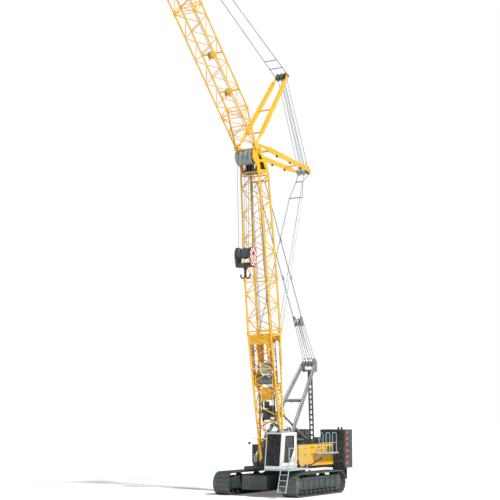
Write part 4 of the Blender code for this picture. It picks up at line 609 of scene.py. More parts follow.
def jib_head():
    """Cheek plates that carry the head sheave's pin, with the lugs of the stays between them."""
    tip = jib_chords(np.array([JIB_TIP]))[1, 0, 0]
    cheek = [(-0.02, JIB_LENGTH - 0.78), (0.50, JIB_LENGTH - 0.80), (0.58, JIB_LENGTH - 0.62),
             (0.56, JIB_LENGTH - 0.42),
             (0.15, JIB_LENGTH - 0.12), *arc((-0.16, JIB_LENGTH - 0.26), 0.15, 60, 215, 9)]
    stays = boxes([(-0.20, 0.46, JIB_LENGTH - 0.57), (0.16, 0.46, JIB_LENGTH - 0.57)],
                  [(-0.16, 0.62, JIB_LENGTH - 0.43), (0.20, 0.62, JIB_LENGTH - 0.43)])
    pin = tubes((-tip - 0.02, -0.16, JIB_LENGTH - 0.26), (tip + 0.02, -0.16, JIB_LENGTH - 0.26), 0.04, 16)
    tie = tubes((-tip, 0.48, JIB_LENGTH - 0.52), (tip, 0.48, JIB_LENGTH - 0.52), 0.035, 10)
    return moved(join(mirrored(slab(cheek, tip - 0.06, tip)), stays, pin, tie), JIB)


make("jib_foot_lattice", "jib",
     join(laced(jib_chords, 0.05, JIB_FOOT, 3, JIB_CHORD, JIB_LACE, JIB, (0.55, 1.0)), jib_foot()),
     "yellow_paint", smooth=True, stands_for=["jib_foot_section"])
make("jib_lattice", "jib",
     join(laced(jib_chords, JIB_FOOT, JIB_TAPER, 18, JIB_CHORD, JIB_LACE, JIB, (0.0, 0.494, 0.506, 1.0)),
          forks(jib_chords, JIB_FOOT, JIB_CHORD, JIB), forks(jib_chords, (JIB_FOOT + JIB_TAPER) / 2,
                                                             JIB_CHORD, JIB),
          forks(jib_chords, JIB_TAPER, JIB_CHORD, JIB)),
     "yellow_paint", smooth=True, stands_for=["jib_insert"])
make("jib_head_lattice", "jib",
     join(laced(jib_chords, JIB_TAPER, JIB_TIP, 3, JIB_CHORD, JIB_LACE, JIB, (0.0, 1.0)), jib_head()),
     "yellow_paint", smooth=True, stands_for=["jib_head_section"])
print("jib faces", made["jib_foot_lattice"], made["jib_lattice"], made["jib_head_lattice"])

# %% [markdown]
# ## Masts, gantry and the boom's inner fittings
# The masts are box beams, so a beam with tapered ends is laid over each packed tube. The gantry's legs
# are pairs of tubes. Inside the boom foot stand the luffing winch's drive and its guards; inside the
# head are guide sheaves for the hoist ropes.

# %% Beams


def beam(first, last, width, depth):
    """A box beam along a line: corners (+-w, +-d) times 0.5 at both ends and 1 from a twelfth inwards."""
    first, last = np.asarray(first, float), np.asarray(last, float)
    along = (last - first) / np.linalg.norm(last - first)
    square = np.cross([1.0, 0, 0], along)
    square /= np.linalg.norm(square)
    across = np.cross(along, square)
    share = np.array([0, 1 / 12, 11 / 12, 1])
    size = np.array([0.5, 1, 1, 0.5])
    corner = np.array([[-1, -1], [1, -1], [1, 1], [-1, 1]]) * [width / 2, depth / 2]
    middle = first + share[:, None] * (last - first)
    offset = corner[None] * size[:, None, None]
    points = middle[:, None] + offset[..., :1] * across + offset[..., 1:] * square
    end = np.arange(4)[None]
    return points.reshape(-1, 3), [ring_quads(4, 4), end[:, ::-1], 12 + end]


def clamps(first, last, shares, width, depth):
    """Bands round a beam at shares of its length."""
    first, last = np.asarray(first, float), np.asarray(last, float)
    step = 0.03 * (last - first) / np.linalg.norm(last - first)
    spots = [first + share * (last - first) for share in shares]
    return join(*[beam(spot - step, spot + step, width * 1.5, depth * 1.35) for spot in spots])


rear_foot, rear_end = at(0.73, -3.10, 19.42), at(0.455, 2.72, 19.175)
front_foot, front_end = at(0.538, -3.22, 20.04), at(0.378, 0.16, 24.20)
make("rear_mast_beams", "boom", mirrored(join(beam(rear_foot, rear_end, 0.16, 0.24),
                                               clamps(rear_foot, rear_end, (0.12, 0.34, 0.58, 0.82), 0.13,
                                                      0.20))),
     "yellow_paint", bevel=0.008)
make("front_mast_beams", "jib", mirrored(join(beam(front_foot, front_end, 0.15, 0.22),
                                               clamps(front_foot, front_end, (0.16, 0.50, 0.84), 0.12,
                                                      0.18))),
     "yellow_paint", bevel=0.008)
hooks = [at(0.66, -1.5, 19.20), at(0.60, 0.2, 19.13), at(0.54, 1.6, 19.08), at(0.50, 2.2, 19.30)]
make("rear_mast_brackets", "boom", mirrored(boxes([spot - [0.03, 0.06, 0.09] for spot in hooks],
                                                  [spot + [0.03, 0.06, 0.05] for spot in hooks])),
     "black_paint", bevel=0.006)

leg_low, leg_high = at(0.89, -1.22, 2.08), at(0.43, 3.50, 7.36)
TUBE_SPACING = 0.105
offset = np.array([0, 0.7456, -0.6664]) * TUBE_SPACING
CLAMP = np.array([0.065, 0.10, 0.04])
clamp_spots = [leg_low + share * (leg_high - leg_low) for share in (0.2, 0.42, 0.8)]
make("gantry_leg_tubes", "upperworks",
     mirrored(join(tubes([leg_low + offset, leg_low - offset], [leg_high + offset, leg_high - offset],
                         0.052, 14),
                   *[boxes(spot - CLAMP, spot + CLAMP) for spot in clamp_spots])),
     "grey_steel", smooth=True)
print("beams", made["rear_mast_beams"], made["front_mast_beams"])

# %% [markdown]
# The boom's foot holds a winch with its guards, a hydraulic unit, hoses and a ladder. Blocks and turned
# shapes are enough for machinery behind lacing. The hoses follow sine curves, because a hose hangs loose
# and a straight one would read as a pipe.

# %% Boom foot fittings
header = boxes([(-0.66, -0.515, 6.58), (-0.66, 0.490, 6.58), (-0.70, -0.45, 6.98)],
               [(0.66, -0.490, 7.02), (0.66, 0.515, 7.02), (0.70, 0.45, 7.02)])
guard = [(-0.34, 5.50), (0.34, 5.50), (0.42, 6.60), (-0.42, 6.60)]
guards = join(*[slab(guard, x - 0.012, x + 0.012) for x in (-0.32, 0.32)])
drive_box = boxes([(-0.30, -0.20, 3.42), (-0.36, -0.16, 3.60)], [(0.30, 0.20, 4.12), (-0.30, 0.16, 4.00)])
make("boom_foot_guards", "boom", moved(join(header, guards, drive_box), BOOM), "yellow_paint", bevel=0.006)
make("boom_foot_winch_cover", "boom",
     moved(join(turned([(-0.24, 0.20), (-0.22, 0.31), (0.22, 0.31), (0.24, 0.20)], (0, 0.0, 5.20), 32),
                turned([(0.24, 0.16), (0.40, 0.16), (0.42, 0.10)], (0, 0.0, 5.20), 24)), BOOM),
     "light_grey_paint", smooth=True)
make("boom_foot_hydraulics", "boom",
     moved(join(boxes([(-0.30, -0.11, 2.30), (0.05, -0.09, 2.45), (-0.22, -0.10, 2.95)],
                      [(-0.02, 0.11, 2.90), (0.32, 0.09, 3.10), (0.0, 0.10, 3.32)]),
                tubes([(-0.40, 0, 2.2), (0.36, 0.02, 2.2), (0.40, -0.02, 2.2)],
                      [(-0.40, 0, 3.3), (0.36, 0.02, 3.6), (0.40, -0.02, 3.5)], 0.03, 8)), BOOM),
     "black_paint", bevel=0.008)
hose = np.linspace(0, 1, 24)
hoses = [np.stack([x + 0.05 * np.sin(6 * hose), 0.05 * np.cos(5 * hose) - 0.02, 1.3 + 2.4 * hose], -1)
         for x in (-0.45, -0.36, 0.46)]
make("boom_foot_hoses", "boom", moved(join(*[swept(line, 0.018, 8) for line in hoses]), BOOM),
     "black_rubber", smooth=True)
rung_s = np.arange(1.9, 6.6, 0.30)
depth = -BOOM_DEPTH / 2 * np.minimum(1, rung_s / FOOT_LENGTH) + 0.075
rungs = tubes(np.stack([np.full_like(rung_s, 0.34), depth, rung_s], -1),
              np.stack([np.full_like(rung_s, 0.60), depth, rung_s], -1), 0.011, 6)
rails = tubes([(0.34, depth[0], 1.8), (0.60, depth[0], 1.8)],
              [(0.34, depth[-1], 6.7), (0.60, depth[-1], 6.7)], 0.014, 6)
make("boom_foot_ladder", "boom", moved(join(rungs, rails), BOOM), "light_grey_paint", smooth=True)
edges = boxes([(0.792, -0.255, 4.33), (0.792, 0.105, 4.33), (0.792, -0.255, 4.33), (0.792, -0.255, 6.735)],
              [(0.824, -0.230, 6.77), (0.824, 0.135, 6.77), (0.824, 0.135, 4.365), (0.824, 0.135, 6.77)])
make("side_board_edges", "boom", moved(mirrored(edges), BOOM), "black_paint", bevel=0.003)

# %% [markdown]
# Inside the boom's head a row of guide sheaves leads the ropes over the top, between four plates. The plates
# are painted black as painted shade, standing for the dark inside of the head. A sheave is a turned shape
# whose profile dips in the middle for its groove.

# %% Boom head fittings
guide = [(-0.045, 0.06), (-0.045, 0.30), (-0.015, 0.26), (0.015, 0.26), (0.045, 0.30), (0.045, 0.06)]
guides = join(*[turned(guide, (x, 0.14, HEAD_START + 0.86), 32) for x in (-0.34, -0.11, 0.11, 0.34)],
              tubes((-0.52, 0.14, HEAD_START + 0.86), (0.52, 0.14, HEAD_START + 0.86), 0.055, 12))
make("boom_head_guide_sheaves", "boom", moved(guides, BOOM), "grey_steel", smooth=True)
# The four plates take black paint as painted shade: they stand for the shadow inside the boom's head.
brackets = join(*[slab([(-0.36, HEAD_START + 0.10), (0.44, HEAD_START + 0.10), (0.34, HEAD_START + 0.95),
                        (0.02, HEAD_START + 1.05)], x - 0.012, x + 0.012)
                  for x in (-0.45, -0.225, 0.225, 0.45)],
                boxes([(-0.52, -0.44, HEAD_START + 0.02)], [(0.52, 0.40, HEAD_START + 0.06)]))
make("boom_head_brackets", "boom", moved(brackets, BOOM), "black_paint", bevel=0.004)

# %% [markdown]
# Two small sheaves keep the hoist rope clear of the jib's lacing. Each has a pair of cheek plates that
# rise from a cross bar on the rear chords.

# %% Jib guide sheaves
JIB_SHEAVE_PROFILE = [(-0.06, 0.05), (-0.05, 0.20), (0, 0.17), (0.05, 0.20), (0.06, 0.05)]
for number, station in ((1, 3.30), (2, 5.70)):
    outline = [(0.42, station - 0.22), (0.80, station - 0.16), (0.98, station), (0.80, station + 0.16),
               (0.42, station + 0.22)]
    cheeks = join(*[slab(outline, x - 0.01, x + 0.01) for x in (-0.10, 0.10)],
                  boxes([(-0.62, 0.74, station - 0.04)], [(0.62, 0.80, station + 0.04)]))
    make(f"jib_guide_frame_{number}", "jib", moved(cheeks, JIB), "yellow_paint", bevel=0.004)
    make(f"jib_guide_sheave_{number}", "jib", moved(turned(JIB_SHEAVE_PROFILE, (0, 0.66, station), 28), JIB),
         "grey_steel", smooth=True)
print("fittings", made["boom_foot_guards"], made["boom_head_brackets"])

# %% [markdown]
# ## Tracks
# A track is a chain of flat shoes with raised bars, bolted to links that run over the rollers. The loop
# is two straight runs joined by half circles. One shoe is made once, from blocks given as travel,
# outward and sideways sizes, and copied round the loop by its position and direction at each pitch.

# %% Track shoes
SHOE_COUNT = 50


def on_loop(travel, length, height):
    """Places (y, z) and outward directions on a loop of two straight runs and two half circles."""
    radius = height / 2
    run = length - height
    turn = math.pi * radius
    first = (travel - run) / radius - math.pi / 2
    second = (travel - 2 * run - turn) / radius + math.pi / 2
    legs = [travel < run, travel < run + turn, travel < 2 * run + turn]
    angle = np.select(legs, [np.full_like(travel, -math.pi / 2), first, np.full_like(travel, math.pi / 2)],
                      second)
    y = np.select(legs, [travel - run / 2, np.full_like(travel, run / 2), run / 2 - (travel - run - turn)],
                  -run / 2)
    out = np.stack([np.cos(angle), np.sin(angle)], -1)
    centre = np.stack([y, np.full_like(y, radius)], -1)
    return centre + radius * out, out


def shoe_blocks(width):
    """One shoe as blocks of (sideways, travel, outward) sizes: plate, two bars, links, guide and bolts."""
    half = width / 2
    lows = [(-half, -0.128, -0.062), (-half, -0.110, -0.024), (-half, 0.078, -0.024),
            (-half + 0.02, -0.016, -0.024),
            (-0.20, -0.118, -0.118), (0.12, -0.118, -0.118), (-0.05, -0.06, -0.118)]
    highs = [(half, 0.128, -0.024), (half, -0.078, 0.0), (half, 0.110, 0.0), (half - 0.02, 0.012, -0.010),
             (-0.12, 0.118, -0.062), (0.20, 0.118, -0.062), (0.05, 0.06, -0.062)]
    blocks = boxes(lows, highs)
    spots = np.array([(x, y, -0.024) for x in (-0.27, -0.20, 0.20, 0.27) for y in (-0.047, 0.045)])
    return join(blocks, tubes(spots, spots + [0, 0, 0.012], 0.014, 6))


def shoes(node):
    """The shoe carried to each pitch of the loop: sideways + travel times tangent + outward times normal."""
    low, high = (np.array(corner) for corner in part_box(node))
    size = high - low
    loop = 2 * (size[1] - size[2]) + math.pi * size[2]
    travel = (np.arange(SHOE_COUNT) + 0.5) * loop / SHOE_COUNT
    place, out = on_loop(travel, size[1], size[2])
    points, groups = shoe_blocks(size[0])
    tangent = np.stack([-out[:, 1], out[:, 0]], -1)
    flat = place[:, None] + points[None, :, 1:2] * tangent[:, None] + points[None, :, 2:] * out[:, None]
    sideways = np.broadcast_to(points[None, :, :1], (SHOE_COUNT, len(points), 1))
    middle = np.array([(low[0] + high[0]) / 2, (low[1] + high[1]) / 2, low[2]])
    places = np.clip(np.concatenate([sideways, flat], -1) + middle, low, high)
    shift = np.arange(SHOE_COUNT)[:, None, None] * len(points)
    return places.reshape(-1, 3), [(group[None] + shift).reshape(-1, group.shape[1]) for group in groups]


for side in ("left", "right"):
    make(f"track_shoes_{side}", "undercarriage", shoes(f"track_{side}"), "track_steel", bevel=0.004,
         stands_for=[f"track_{side}"])
print("faces of one track", made["track_shoes_left"])

# %% [markdown]
# The frame inside each track has welded ribs, a flange above and below, covers on its sprocket and idler
# with a ring of bolts, and a cap on each roller's axle. All are made for the left and mirrored.

# %% Track frame details
frame_low, frame_high = (np.array(corner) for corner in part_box("track_frame_left"))
face = frame_high[0]
rib_y = np.linspace(-1.95, 1.95, 7)
rib_low = np.stack(np.broadcast_arrays(face - 0.002, rib_y - 0.03, 0.44 - BELLY), -1)
rib_high = np.stack(np.broadcast_arrays(face + 0.035, rib_y + 0.03, 0.96 - BELLY), -1)
ribs = boxes(rib_low, rib_high)
flanges = boxes([(face - 0.002, -2.20, 0.93 - BELLY), (face - 0.002, -2.28, 0.40 - BELLY)],
                [(face + 0.055, 2.20, 0.97 - BELLY), (face + 0.045, 2.28, 0.44 - BELLY)])
make("track_frame_ribs", "undercarriage", mirrored(join(ribs, flanges)), "dark_green_paint", bevel=0.005)
HUB_PLACES, HUB_HEIGHT = (-2.415, 2.415), 0.65 - BELLY
ROLLER_PLACES, ROLLER_HEIGHT = np.linspace(-2.065, 2.065, 9), 0.26 - BELLY
HUB_BOLTS, BOLT_CIRCLE = 12, 0.32
hub = [(0.0, 0.44), (0.06, 0.44), (0.09, 0.38), (0.09, 0.22), (0.13, 0.20), (0.13, 0.05)]
cap = [(0, 0.085), (0.03, 0.085), (0.05, 0.05)]
caps = [turned(hub, (face - 0.14, y, HUB_HEIGHT), 32) for y in HUB_PLACES]
caps += [turned(cap, (face - 0.02, y, ROLLER_HEIGHT), 16) for y in ROLLER_PLACES]
turn = np.arange(HUB_BOLTS) * 2 * math.pi / HUB_BOLTS
for y in HUB_PLACES:
    spots = np.stack([np.full(HUB_BOLTS, face - 0.055), y + BOLT_CIRCLE * np.cos(turn),
                      HUB_HEIGHT + BOLT_CIRCLE * np.sin(turn)], -1)
    caps.append(tubes(spots, spots + [0.025, 0, 0], 0.020, 6))
make("track_hubs", "undercarriage", mirrored(join(*caps)), "track_steel", smooth=True)

# %% [markdown]
# ## Wire ropes
# A rope is a thin tube along straight runs between sheaves. Ropes that join two moving bodies ride on neither
# and stay where they are in the model's coordinates. The twist of the strands comes from the UV map: one turn
# of strands for every few diameters of length.

# %% Rope helper
ROPE = 0.013
LAY = 9.0


def rope(name, lines, radius=ROPE, body=None, between=None, sides=6):
    """Taut runs, each a path of points, as one piece that rides on a body, or rides on none when it runs
    between two.
    """
    shapes, uvs = [], []
    for line in lines:
        line = np.asarray(line, float)
        travel = np.concatenate([[0], np.cumsum(np.linalg.norm(np.diff(line, axis=0), axis=1))])
        steps = max(2, int(travel[-1] / 0.8))
        spots = np.union1d(np.linspace(0, travel[-1], steps), travel)
        path = np.stack([np.interp(spots, travel, line[:, k]) for k in range(3)], -1)
        shapes.append(swept(path, radius, sides))
        along = np.repeat(spots / (LAY * radius), sides)
        around = np.tile(np.arange(sides) / sides * 3, len(spots))
        uvs.append(np.stack([along, around], -1))
    piece = make(name, body, join(*shapes), "wire_rope", smooth=True)
    mesh = piece.data
    layer = mesh.uv_layers.new(name="strands")
    corner = np.empty(len(mesh.loops), int)
    mesh.loops.foreach_get("vertex_index", corner)
    layer.data.foreach_set("uv", np.concatenate(uvs)[corner].ravel())
    if between:
        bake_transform(piece)
    return piece


def reeved(first, second, first_radius, second_radius, first_x, second_x):
    """Runs between two sheave packs, tangent to both sides of each pair of grooves."""
    along = second - first
    along = along / np.linalg.norm(along)
    square = np.cross([1, 0, 0], along)
    runs = []
    for a, b in zip(first_x, second_x):
        for turn in (-1, 1):
            runs.append([first + [a, 0, 0] + turn * first_radius * square,
                         second + [b, 0, 0] + turn * second_radius * square])
    return runs


gantry_top = np.array(joint["gantry_sheave_swing"]["pos_m"])
floating_block = at(0, 2.34, 9.90)
rope("boom_luffing_ropes", reeved(gantry_top, floating_block, 0.265, 0.225, np.linspace(-0.24, 0.24, 4),
                                  np.linspace(-0.16, 0.16, 4)),
     between=("gantry_sheaves", "pendants", gantry_top, floating_block))
luffing_drum = np.array(joint["boom_luffing_spin"]["pos_m"])
rope("boom_luffing_lead", [[luffing_drum + [0.18, 0.28, 0.10], gantry_top + [0.10, 0.26, -0.08]]],
     body="upperworks")

rear_sheaves = at(0, 3.06, 19.17)
mast_sheaves = at(0, 0.34, 24.43)
rope("jib_luffing_ropes", reeved(rear_sheaves, mast_sheaves, 0.245, 0.225, np.linspace(-0.20, 0.20, 3),
                                 np.linspace(-0.17, 0.17, 3)),
     between=("boom", "jib", rear_sheaves, mast_sheaves))
winch = put([(0.12, 0.24, WINCH_STATION + 0.12)], BOOM)[0]
rope("jib_luffing_lead", [[winch, rear_sheaves + [0.12, -0.20, -0.14]]], body="boom")

# %% [markdown]
# The main hoist rope runs from its drum up through the boom, and the jib's runs up the rear face, over the
# boom's head and along the jib. Where a rope leaves one body for another, a piece of it is made on its own
# and rides on neither body.

# %% Hoist ropes
main_drum = np.array(joint["main_hoist_spin"]["pos_m"])
jib_drum = np.array(joint["jib_hoist_spin"]["pos_m"])
head_sheaves = np.array(joint["head_sheave_hang"]["pos_m"])
entry = put([(0.08, 0.42, 8.4)], BOOM)[0]
inside = put([(0.10, 0.05, 14.5), (0.15, -0.70, HEAD_START + 1.30)], BOOM)
rope("main_hoist_rope", [[main_drum + [0.10, -0.10, 0.26], entry, *inside]],
     between=("upperworks", "boom", main_drum + [0, 0, 0.3], entry))
inner_x = (-0.42, -0.34, -0.26, 0.30, 0.38, 0.46)
rope("boom_inner_ropes", [list(put([(x, 0.10, 6.0), (x * 0.8, 0.02, HEAD_START + 0.5)],
                                   BOOM)) for x in inner_x], body="boom")
rear_run = put([(-0.10, 0.66, 9.0), (-0.10, 0.60, HEAD_START + 0.2), (-0.10, 0.10, HEAD_START + 1.75)], BOOM)
jib_run = put([(-0.05, JIB_DEPTH + 0.07, 2.3), (-0.02, JIB_DEPTH + 0.05, JIB_TAPER),
               (0, 0.02, JIB_LENGTH - 0.06)], JIB)
rope("jib_hoist_rope_lower", [[jib_drum + [-0.10, 0.0, 0.26], *rear_run]],
     between=("upperworks", "boom", jib_drum + [0, 0, 0.3], rear_run[0]))
rope("jib_hoist_rope_crossing", [[rear_run[-1], jib_run[0]]],
     between=("boom", "jib", rear_run[-1], jib_run[0]))
rope("jib_hoist_rope_upper", [list(jib_run)], body="jib")

# %% [markdown]
# Six falls hang between the boom's head sheaves and the hook block. They are the one rope that gets much
# longer and shorter; here they ride on neither body.

# %% Hook falls
block_low, block_high = (np.array(corner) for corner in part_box("hook_block"))
block_axle = np.array([0, head_sheaves[1], block_high[2] - 0.38])
falls = []
for head_x, block_x in ((-0.29, -0.24), (0.0, 0.0), (0.29, 0.24)):
    for side, block_side in ((-0.44, -0.31), (0.33, 0.31)):
        falls.append([head_sheaves + [head_x, side, 0], block_axle + [block_x, block_side, 0.02]])
rope("hook_falls", falls, between=("head_sheaves", "hook_block", head_sheaves, block_axle))
print("rope pieces", [name for name in made if "rope" in name or "lead" in name or "falls" in name])

# %% [markdown]
# ## Winches
# Rope lies on a drum in close turns, so the pile is a ribbed surface: the radius rises and falls once for
# each turn. A smooth cylinder would read as a roller, and a real spiral would cost many faces for a
# slope that is hardly seen.

# %% Wound rope
PILE_RIBS = 34


def pile(half, radius):
    """Wound rope about X: radius = pile radius + rope radius |cos(pi turn)|, from one flange to the other."""
    share = np.linspace(0, PILE_RIBS, PILE_RIBS * 4 + 1)
    across = -half + 2 * half * share / PILE_RIBS
    height = radius + ROPE * np.abs(np.sin(math.pi * share))
    return turned(np.stack([across, height], -1), (0, 0, 0), 40)


drums = (("main_hoist_drum", 0.458, 0.30, LEVEL[1]), ("jib_hoist_drum", 0.458, 0.29, LEVEL[1]),
         ("boom_luffing_drum", 0.458, 0.285, LEVEL[1]), ("jib_luffing_drum", 0.428, 0.24, BOOM[1]))
for body, half, radius, lean in drums:
    low, high = (np.array(corner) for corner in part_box(body))
    make(f"{body}_rope", body, moved(pile(half, radius), ((low + high) / 2, lean)), "grey_steel",
         smooth=True)
print("drums", made["main_hoist_drum_rope"], "faces each")

# %% [markdown]
# ## Pendants, hook block and counterweights
# Pendant lines are made of lengths joined by link plates with pins. The hook block carries a warning
# pattern on its cheeks, and each counterweight slab has a red triangle at its corner.

# %% Pendant links
link_shapes = []
for y, z in ((-1.50, 16.21), (-0.33, 14.46), (0.88, 12.43)):
    centre = at(0, y, z)
    direction = gantry_top - np.array([0, *put([(0, 0.645, 15.80)], BOOM)[0][1:]])
    direction /= np.linalg.norm(direction)
    for x in (-0.27, 0.27):
        spot = centre + [x, 0, 0]
        link_shapes.append(tubes(spot - 0.13 * direction, spot + 0.13 * direction, 0.042, 8))
        for share in (-0.09, 0.09):
            pin = spot + share * direction
            link_shapes.append(tubes(pin - [0.06, 0, 0], pin + [0.06, 0, 0], 0.022, 8))
make("pendant_links", "pendants", join(*link_shapes), "grey_steel", smooth=True)

# %% [markdown]
# The block's cheeks carry red and white warning stripes. A thin plate with the cheek's outline stands a
# few millimetres proud of it, with the heads of its pins, so that the stripes have a surface to lie on.

# %% Hook block cheeks
PROUD = 0.006
axle_y, axle_z = block_axle[1:]
cheek = [(axle_y - 0.20, block_low[2] + 0.16), (axle_y + 0.20, block_low[2] + 0.16),
         (axle_y + 0.33, axle_z - 0.24),
         *arc((axle_y, axle_z), 0.33, 0, 180, 17), (axle_y - 0.33, axle_z - 0.24)]
half = block_high[0]
make("hook_block_stripes", "hook_block", mirrored(slab(cheek, half, half + PROUD)), "hazard_stripes",
     bevel=0.002)
caps = np.array([(s * (half - 0.01), axle_y + dy, z) for s in (-1, 1)
                 for dy, z in ((0.0, axle_z), (-0.15, block_low[2] + 0.28), (0.15, block_low[2] + 0.28),
                               (0, block_low[2] + 0.5))])
sizes = np.tile([0.085, 0.03, 0.03, 0.035], 2)
ends = caps + np.sign(caps[:, :1]) * np.array([[0.045, 0, 0]])
make("hook_block_pins", "hook_block", tubes(caps, ends, sizes, 12), "black_paint", bevel=0.004)

# %% [markdown]
# Each counterweight slab has a red triangle and a lifting lug near each corner, and steps on its front.
# The slabs repeat at one pitch, so the heights are one row of numbers.

# %% Counterweight marks and lifting lugs
slab_low, slab_high = (np.array(corner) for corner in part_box("counterweight_left"))
SLABS, SLAB_PITCH, STACK_LOW = 6, 0.355, 1.46 - BELLY
mark_front, mark_rear = slab_low[1] + 0.08, slab_low[1] + 0.46
marks = [slab([(mark_front, z + 0.17), (mark_rear, z + 0.07), (mark_rear, z + 0.27)],
              slab_high[0] - 0.002, slab_high[0] + 0.003)
         for z in STACK_LOW + np.arange(SLABS) * SLAB_PITCH]
make("counterweight_marks", "upperworks", mirrored(join(*marks)), "red_paint")
heights = STACK_LOW + (np.arange(SLABS) + 0.5) * SLAB_PITCH
lug_y = np.repeat([slab_low[1] + 0.02, slab_high[1] - 0.09], SLABS)
lugs = np.stack([np.full(2 * SLABS, slab_high[0] - 0.05), lug_y, np.tile(heights, 2)], -1)
front_lugs = np.stack([np.full(SLABS, 1.62), np.full(SLABS, slab_low[1] - 0.035), heights - 0.05], -1)
make("counterweight_lugs", "upperworks",
     mirrored(join(boxes(lugs - [0, 0, 0.08], lugs + [0.058, 0.07, 0.08]),
                   boxes(front_lugs, front_lugs + [0.50, 0.036, 0.10]))),
     "black_paint", bevel=0.010)
print("marks", 2 * SLABS)

# %% [markdown]
# ## Machinery houses
# The houses are folded sheet: doors with thin gaps, hinges, latches and louvres. Each door is a shallow
# panel that stands a few millimetres proud, which reads as a real door because its edge casts a line.

# %% House panels
PANEL = 0.010


def doors(x, outward, spans, low, high):
    """Door panels on a wall square to X, each from a span (front, rear), with a fold round the edge."""
    near, far = sorted((x, x + outward * PANEL))
    return boxes([(near, front, low) for front, rear in spans], [(far, rear, high) for front, rear in spans])


def louvres(x, outward, front, rear, low, high, count):
    """Slanted slats in a wall: each is a thin block whose lower edge stands out."""
    z = np.linspace(low, high, count)
    near, far = sorted((x, x + outward * 0.022))
    return boxes([(near, front, value) for value in z], [(far, rear, value + 0.018) for value in z])


def latches(x, outward, spots):
    """Handles and hinges: small blocks at (y, z) spots."""
    near, far = sorted((x, x + outward * 0.035))
    return boxes([(near, y - 0.05, z - 0.018) for y, z in spots],
                 [(far, y + 0.05, z + 0.018) for y, z in spots])


left_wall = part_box("machinery_house_left")[1][0]
right_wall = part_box("machinery_house_right")[0][0]
door_low, door_high = 1.98 - BELLY, 2.70 - BELLY
make("left_house_doors", "upperworks", doors(left_wall, 1,
                                             ((0.06, 0.98), (1.02, 1.86), (1.90, 2.74),
                                              (2.78, 3.62)), door_low + 0.10, door_high),
     "yellow_paint", bevel=0.004)
make("right_house_doors", "upperworks", doors(right_wall, -1,
                                              ((-0.30, 0.66), (0.70, 1.66), (1.70, 2.66),
                                               (2.70, 3.62)), door_low - 0.25, door_high),
     "dark_green_paint", bevel=0.004)
make("house_louvres", "upperworks",
     join(louvres(left_wall + PANEL, 1, 2.90, 3.50, door_low + 0.20, door_high - 0.10, 9),
          louvres(right_wall - PANEL, -1, 1.80, 2.55, door_low - 0.10, door_high - 0.10, 14),
          louvres(right_wall - PANEL, -1, 2.80, 3.50, door_low - 0.10, door_high - 0.10, 14)),
     "black_paint", bevel=0.002)
spots = [(y, z) for y in (0.14, 0.90, 1.10, 1.78, 1.98, 2.66) for z in (door_low + 0.22, door_high - 0.12)]
make("house_latches", "upperworks", join(latches(left_wall + PANEL, 1, spots),
                                         latches(right_wall - PANEL, -1, spots)),
     "black_rubber", bevel=0.005)
band = [(0.10, 1.66), (0.80, 1.64), (1.60, 1.80), (2.36, 2.03), (2.36, 1.93), (0.66, 1.52), (0.10, 1.56)]
make("house_side_band", "upperworks", slab([(y, z - BELLY) for y, z in band], left_wall - 0.002,
                                           left_wall + PANEL),
     "dark_green_paint", bevel=0.003)
HOUSE_TOP = 2.76
roof = HOUSE_TOP - BELLY
rim = boxes([(1.02, -0.20, roof), (1.02, 3.62, roof), (1.02, -0.20, roof), (1.46, -0.20, roof)],
            [(1.49, -0.16, roof + 0.05), (1.49, 3.67, roof + 0.05), (1.06, 3.67, roof + 0.05),
             (1.49, 3.67, roof + 0.05)])
make("house_roof_rim", "upperworks", rim, "dark_green_paint", bevel=0.006)
print("house pieces", [name for name in made if "house" in name])

# %% [markdown]
# Rows of bolts hold the deck, and a ring of bolts holds the slewing ring. Each is a six-sided tube, which
# at this size is a hexagonal head.

# %% Deck and slewing ring bolts
DECK_TOP, CAR_BODY_TOP = 1.56 - BELLY, 1.15 - BELLY
RING_BOLTS, RING_CIRCLE = 40, 0.912
bolt_rows = np.arange(-1.55, -0.1, 0.24)
bolt_spots = np.array([(s * x, y, DECK_TOP) for s in (-1, 1) for x in (0.78, 1.34) for y in bolt_rows])
make("deck_bolts", "upperworks", tubes(bolt_spots, bolt_spots + [0, 0, 0.018], 0.018, 6), "grey_steel")
turn = np.arange(RING_BOLTS) * 2 * math.pi / RING_BOLTS
ring_spots = np.stack([RING_CIRCLE * np.cos(turn), RING_CIRCLE * np.sin(turn),
                       np.full(RING_BOLTS, CAR_BODY_TOP)], -1)
make("slewing_ring_bolts", "undercarriage", tubes(ring_spots, ring_spots + [0, 0, 0.03], 0.022, 6),
     "grey_steel")

# %% [markdown]
# ## Cab
# Rubber seals run round the windows, a wiper lies on the windscreen, and lamps stand on the roof and on
# the platform's edge. The seat is padded: each cushion is a rounded block that swells between its edges,
# a superellipsoid with the top domed and the seams drawn in.

# %% Seals and wiper
SEAL = 0.022


def seal(outline, x):
    """A rubber strip round a window: a thin tube through the outline's points and back to the first."""
    ring = np.array([(x, y, z - BELLY) for y, z in outline])
    return tubes(ring, np.roll(ring, -1, axis=0), SEAL, 8)


door_window = [(-3.13, 1.90), (-2.94, 3.29), (-2.02, 3.29), (-2.02, 2.62), (-2.50, 1.90)]
side_window = [(-2.95, 2.25), (-2.85, 3.22), (-1.85, 3.22), (-1.85, 2.25)]
door_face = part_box("cab_door_glass")[1][0] + 0.020
make("door_window_seal", "cab_door", seal(door_window, door_face), "black_rubber", smooth=True)
make("side_window_seal", "upperworks", seal(side_window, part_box("cab_shell")[0][0] + 0.004),
     "black_rubber", smooth=True)
screen_low, screen_high = (np.array(corner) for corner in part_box("windscreen"))


def on_screen(x, z):
    """A point just outside the leaning windscreen: its y follows the height in a straight line."""
    share = (z - screen_low[2]) / (screen_high[2] - screen_low[2])
    return np.array([x, screen_low[1] - 0.02 + share * (screen_high[1] - screen_low[1] - 0.02), z])


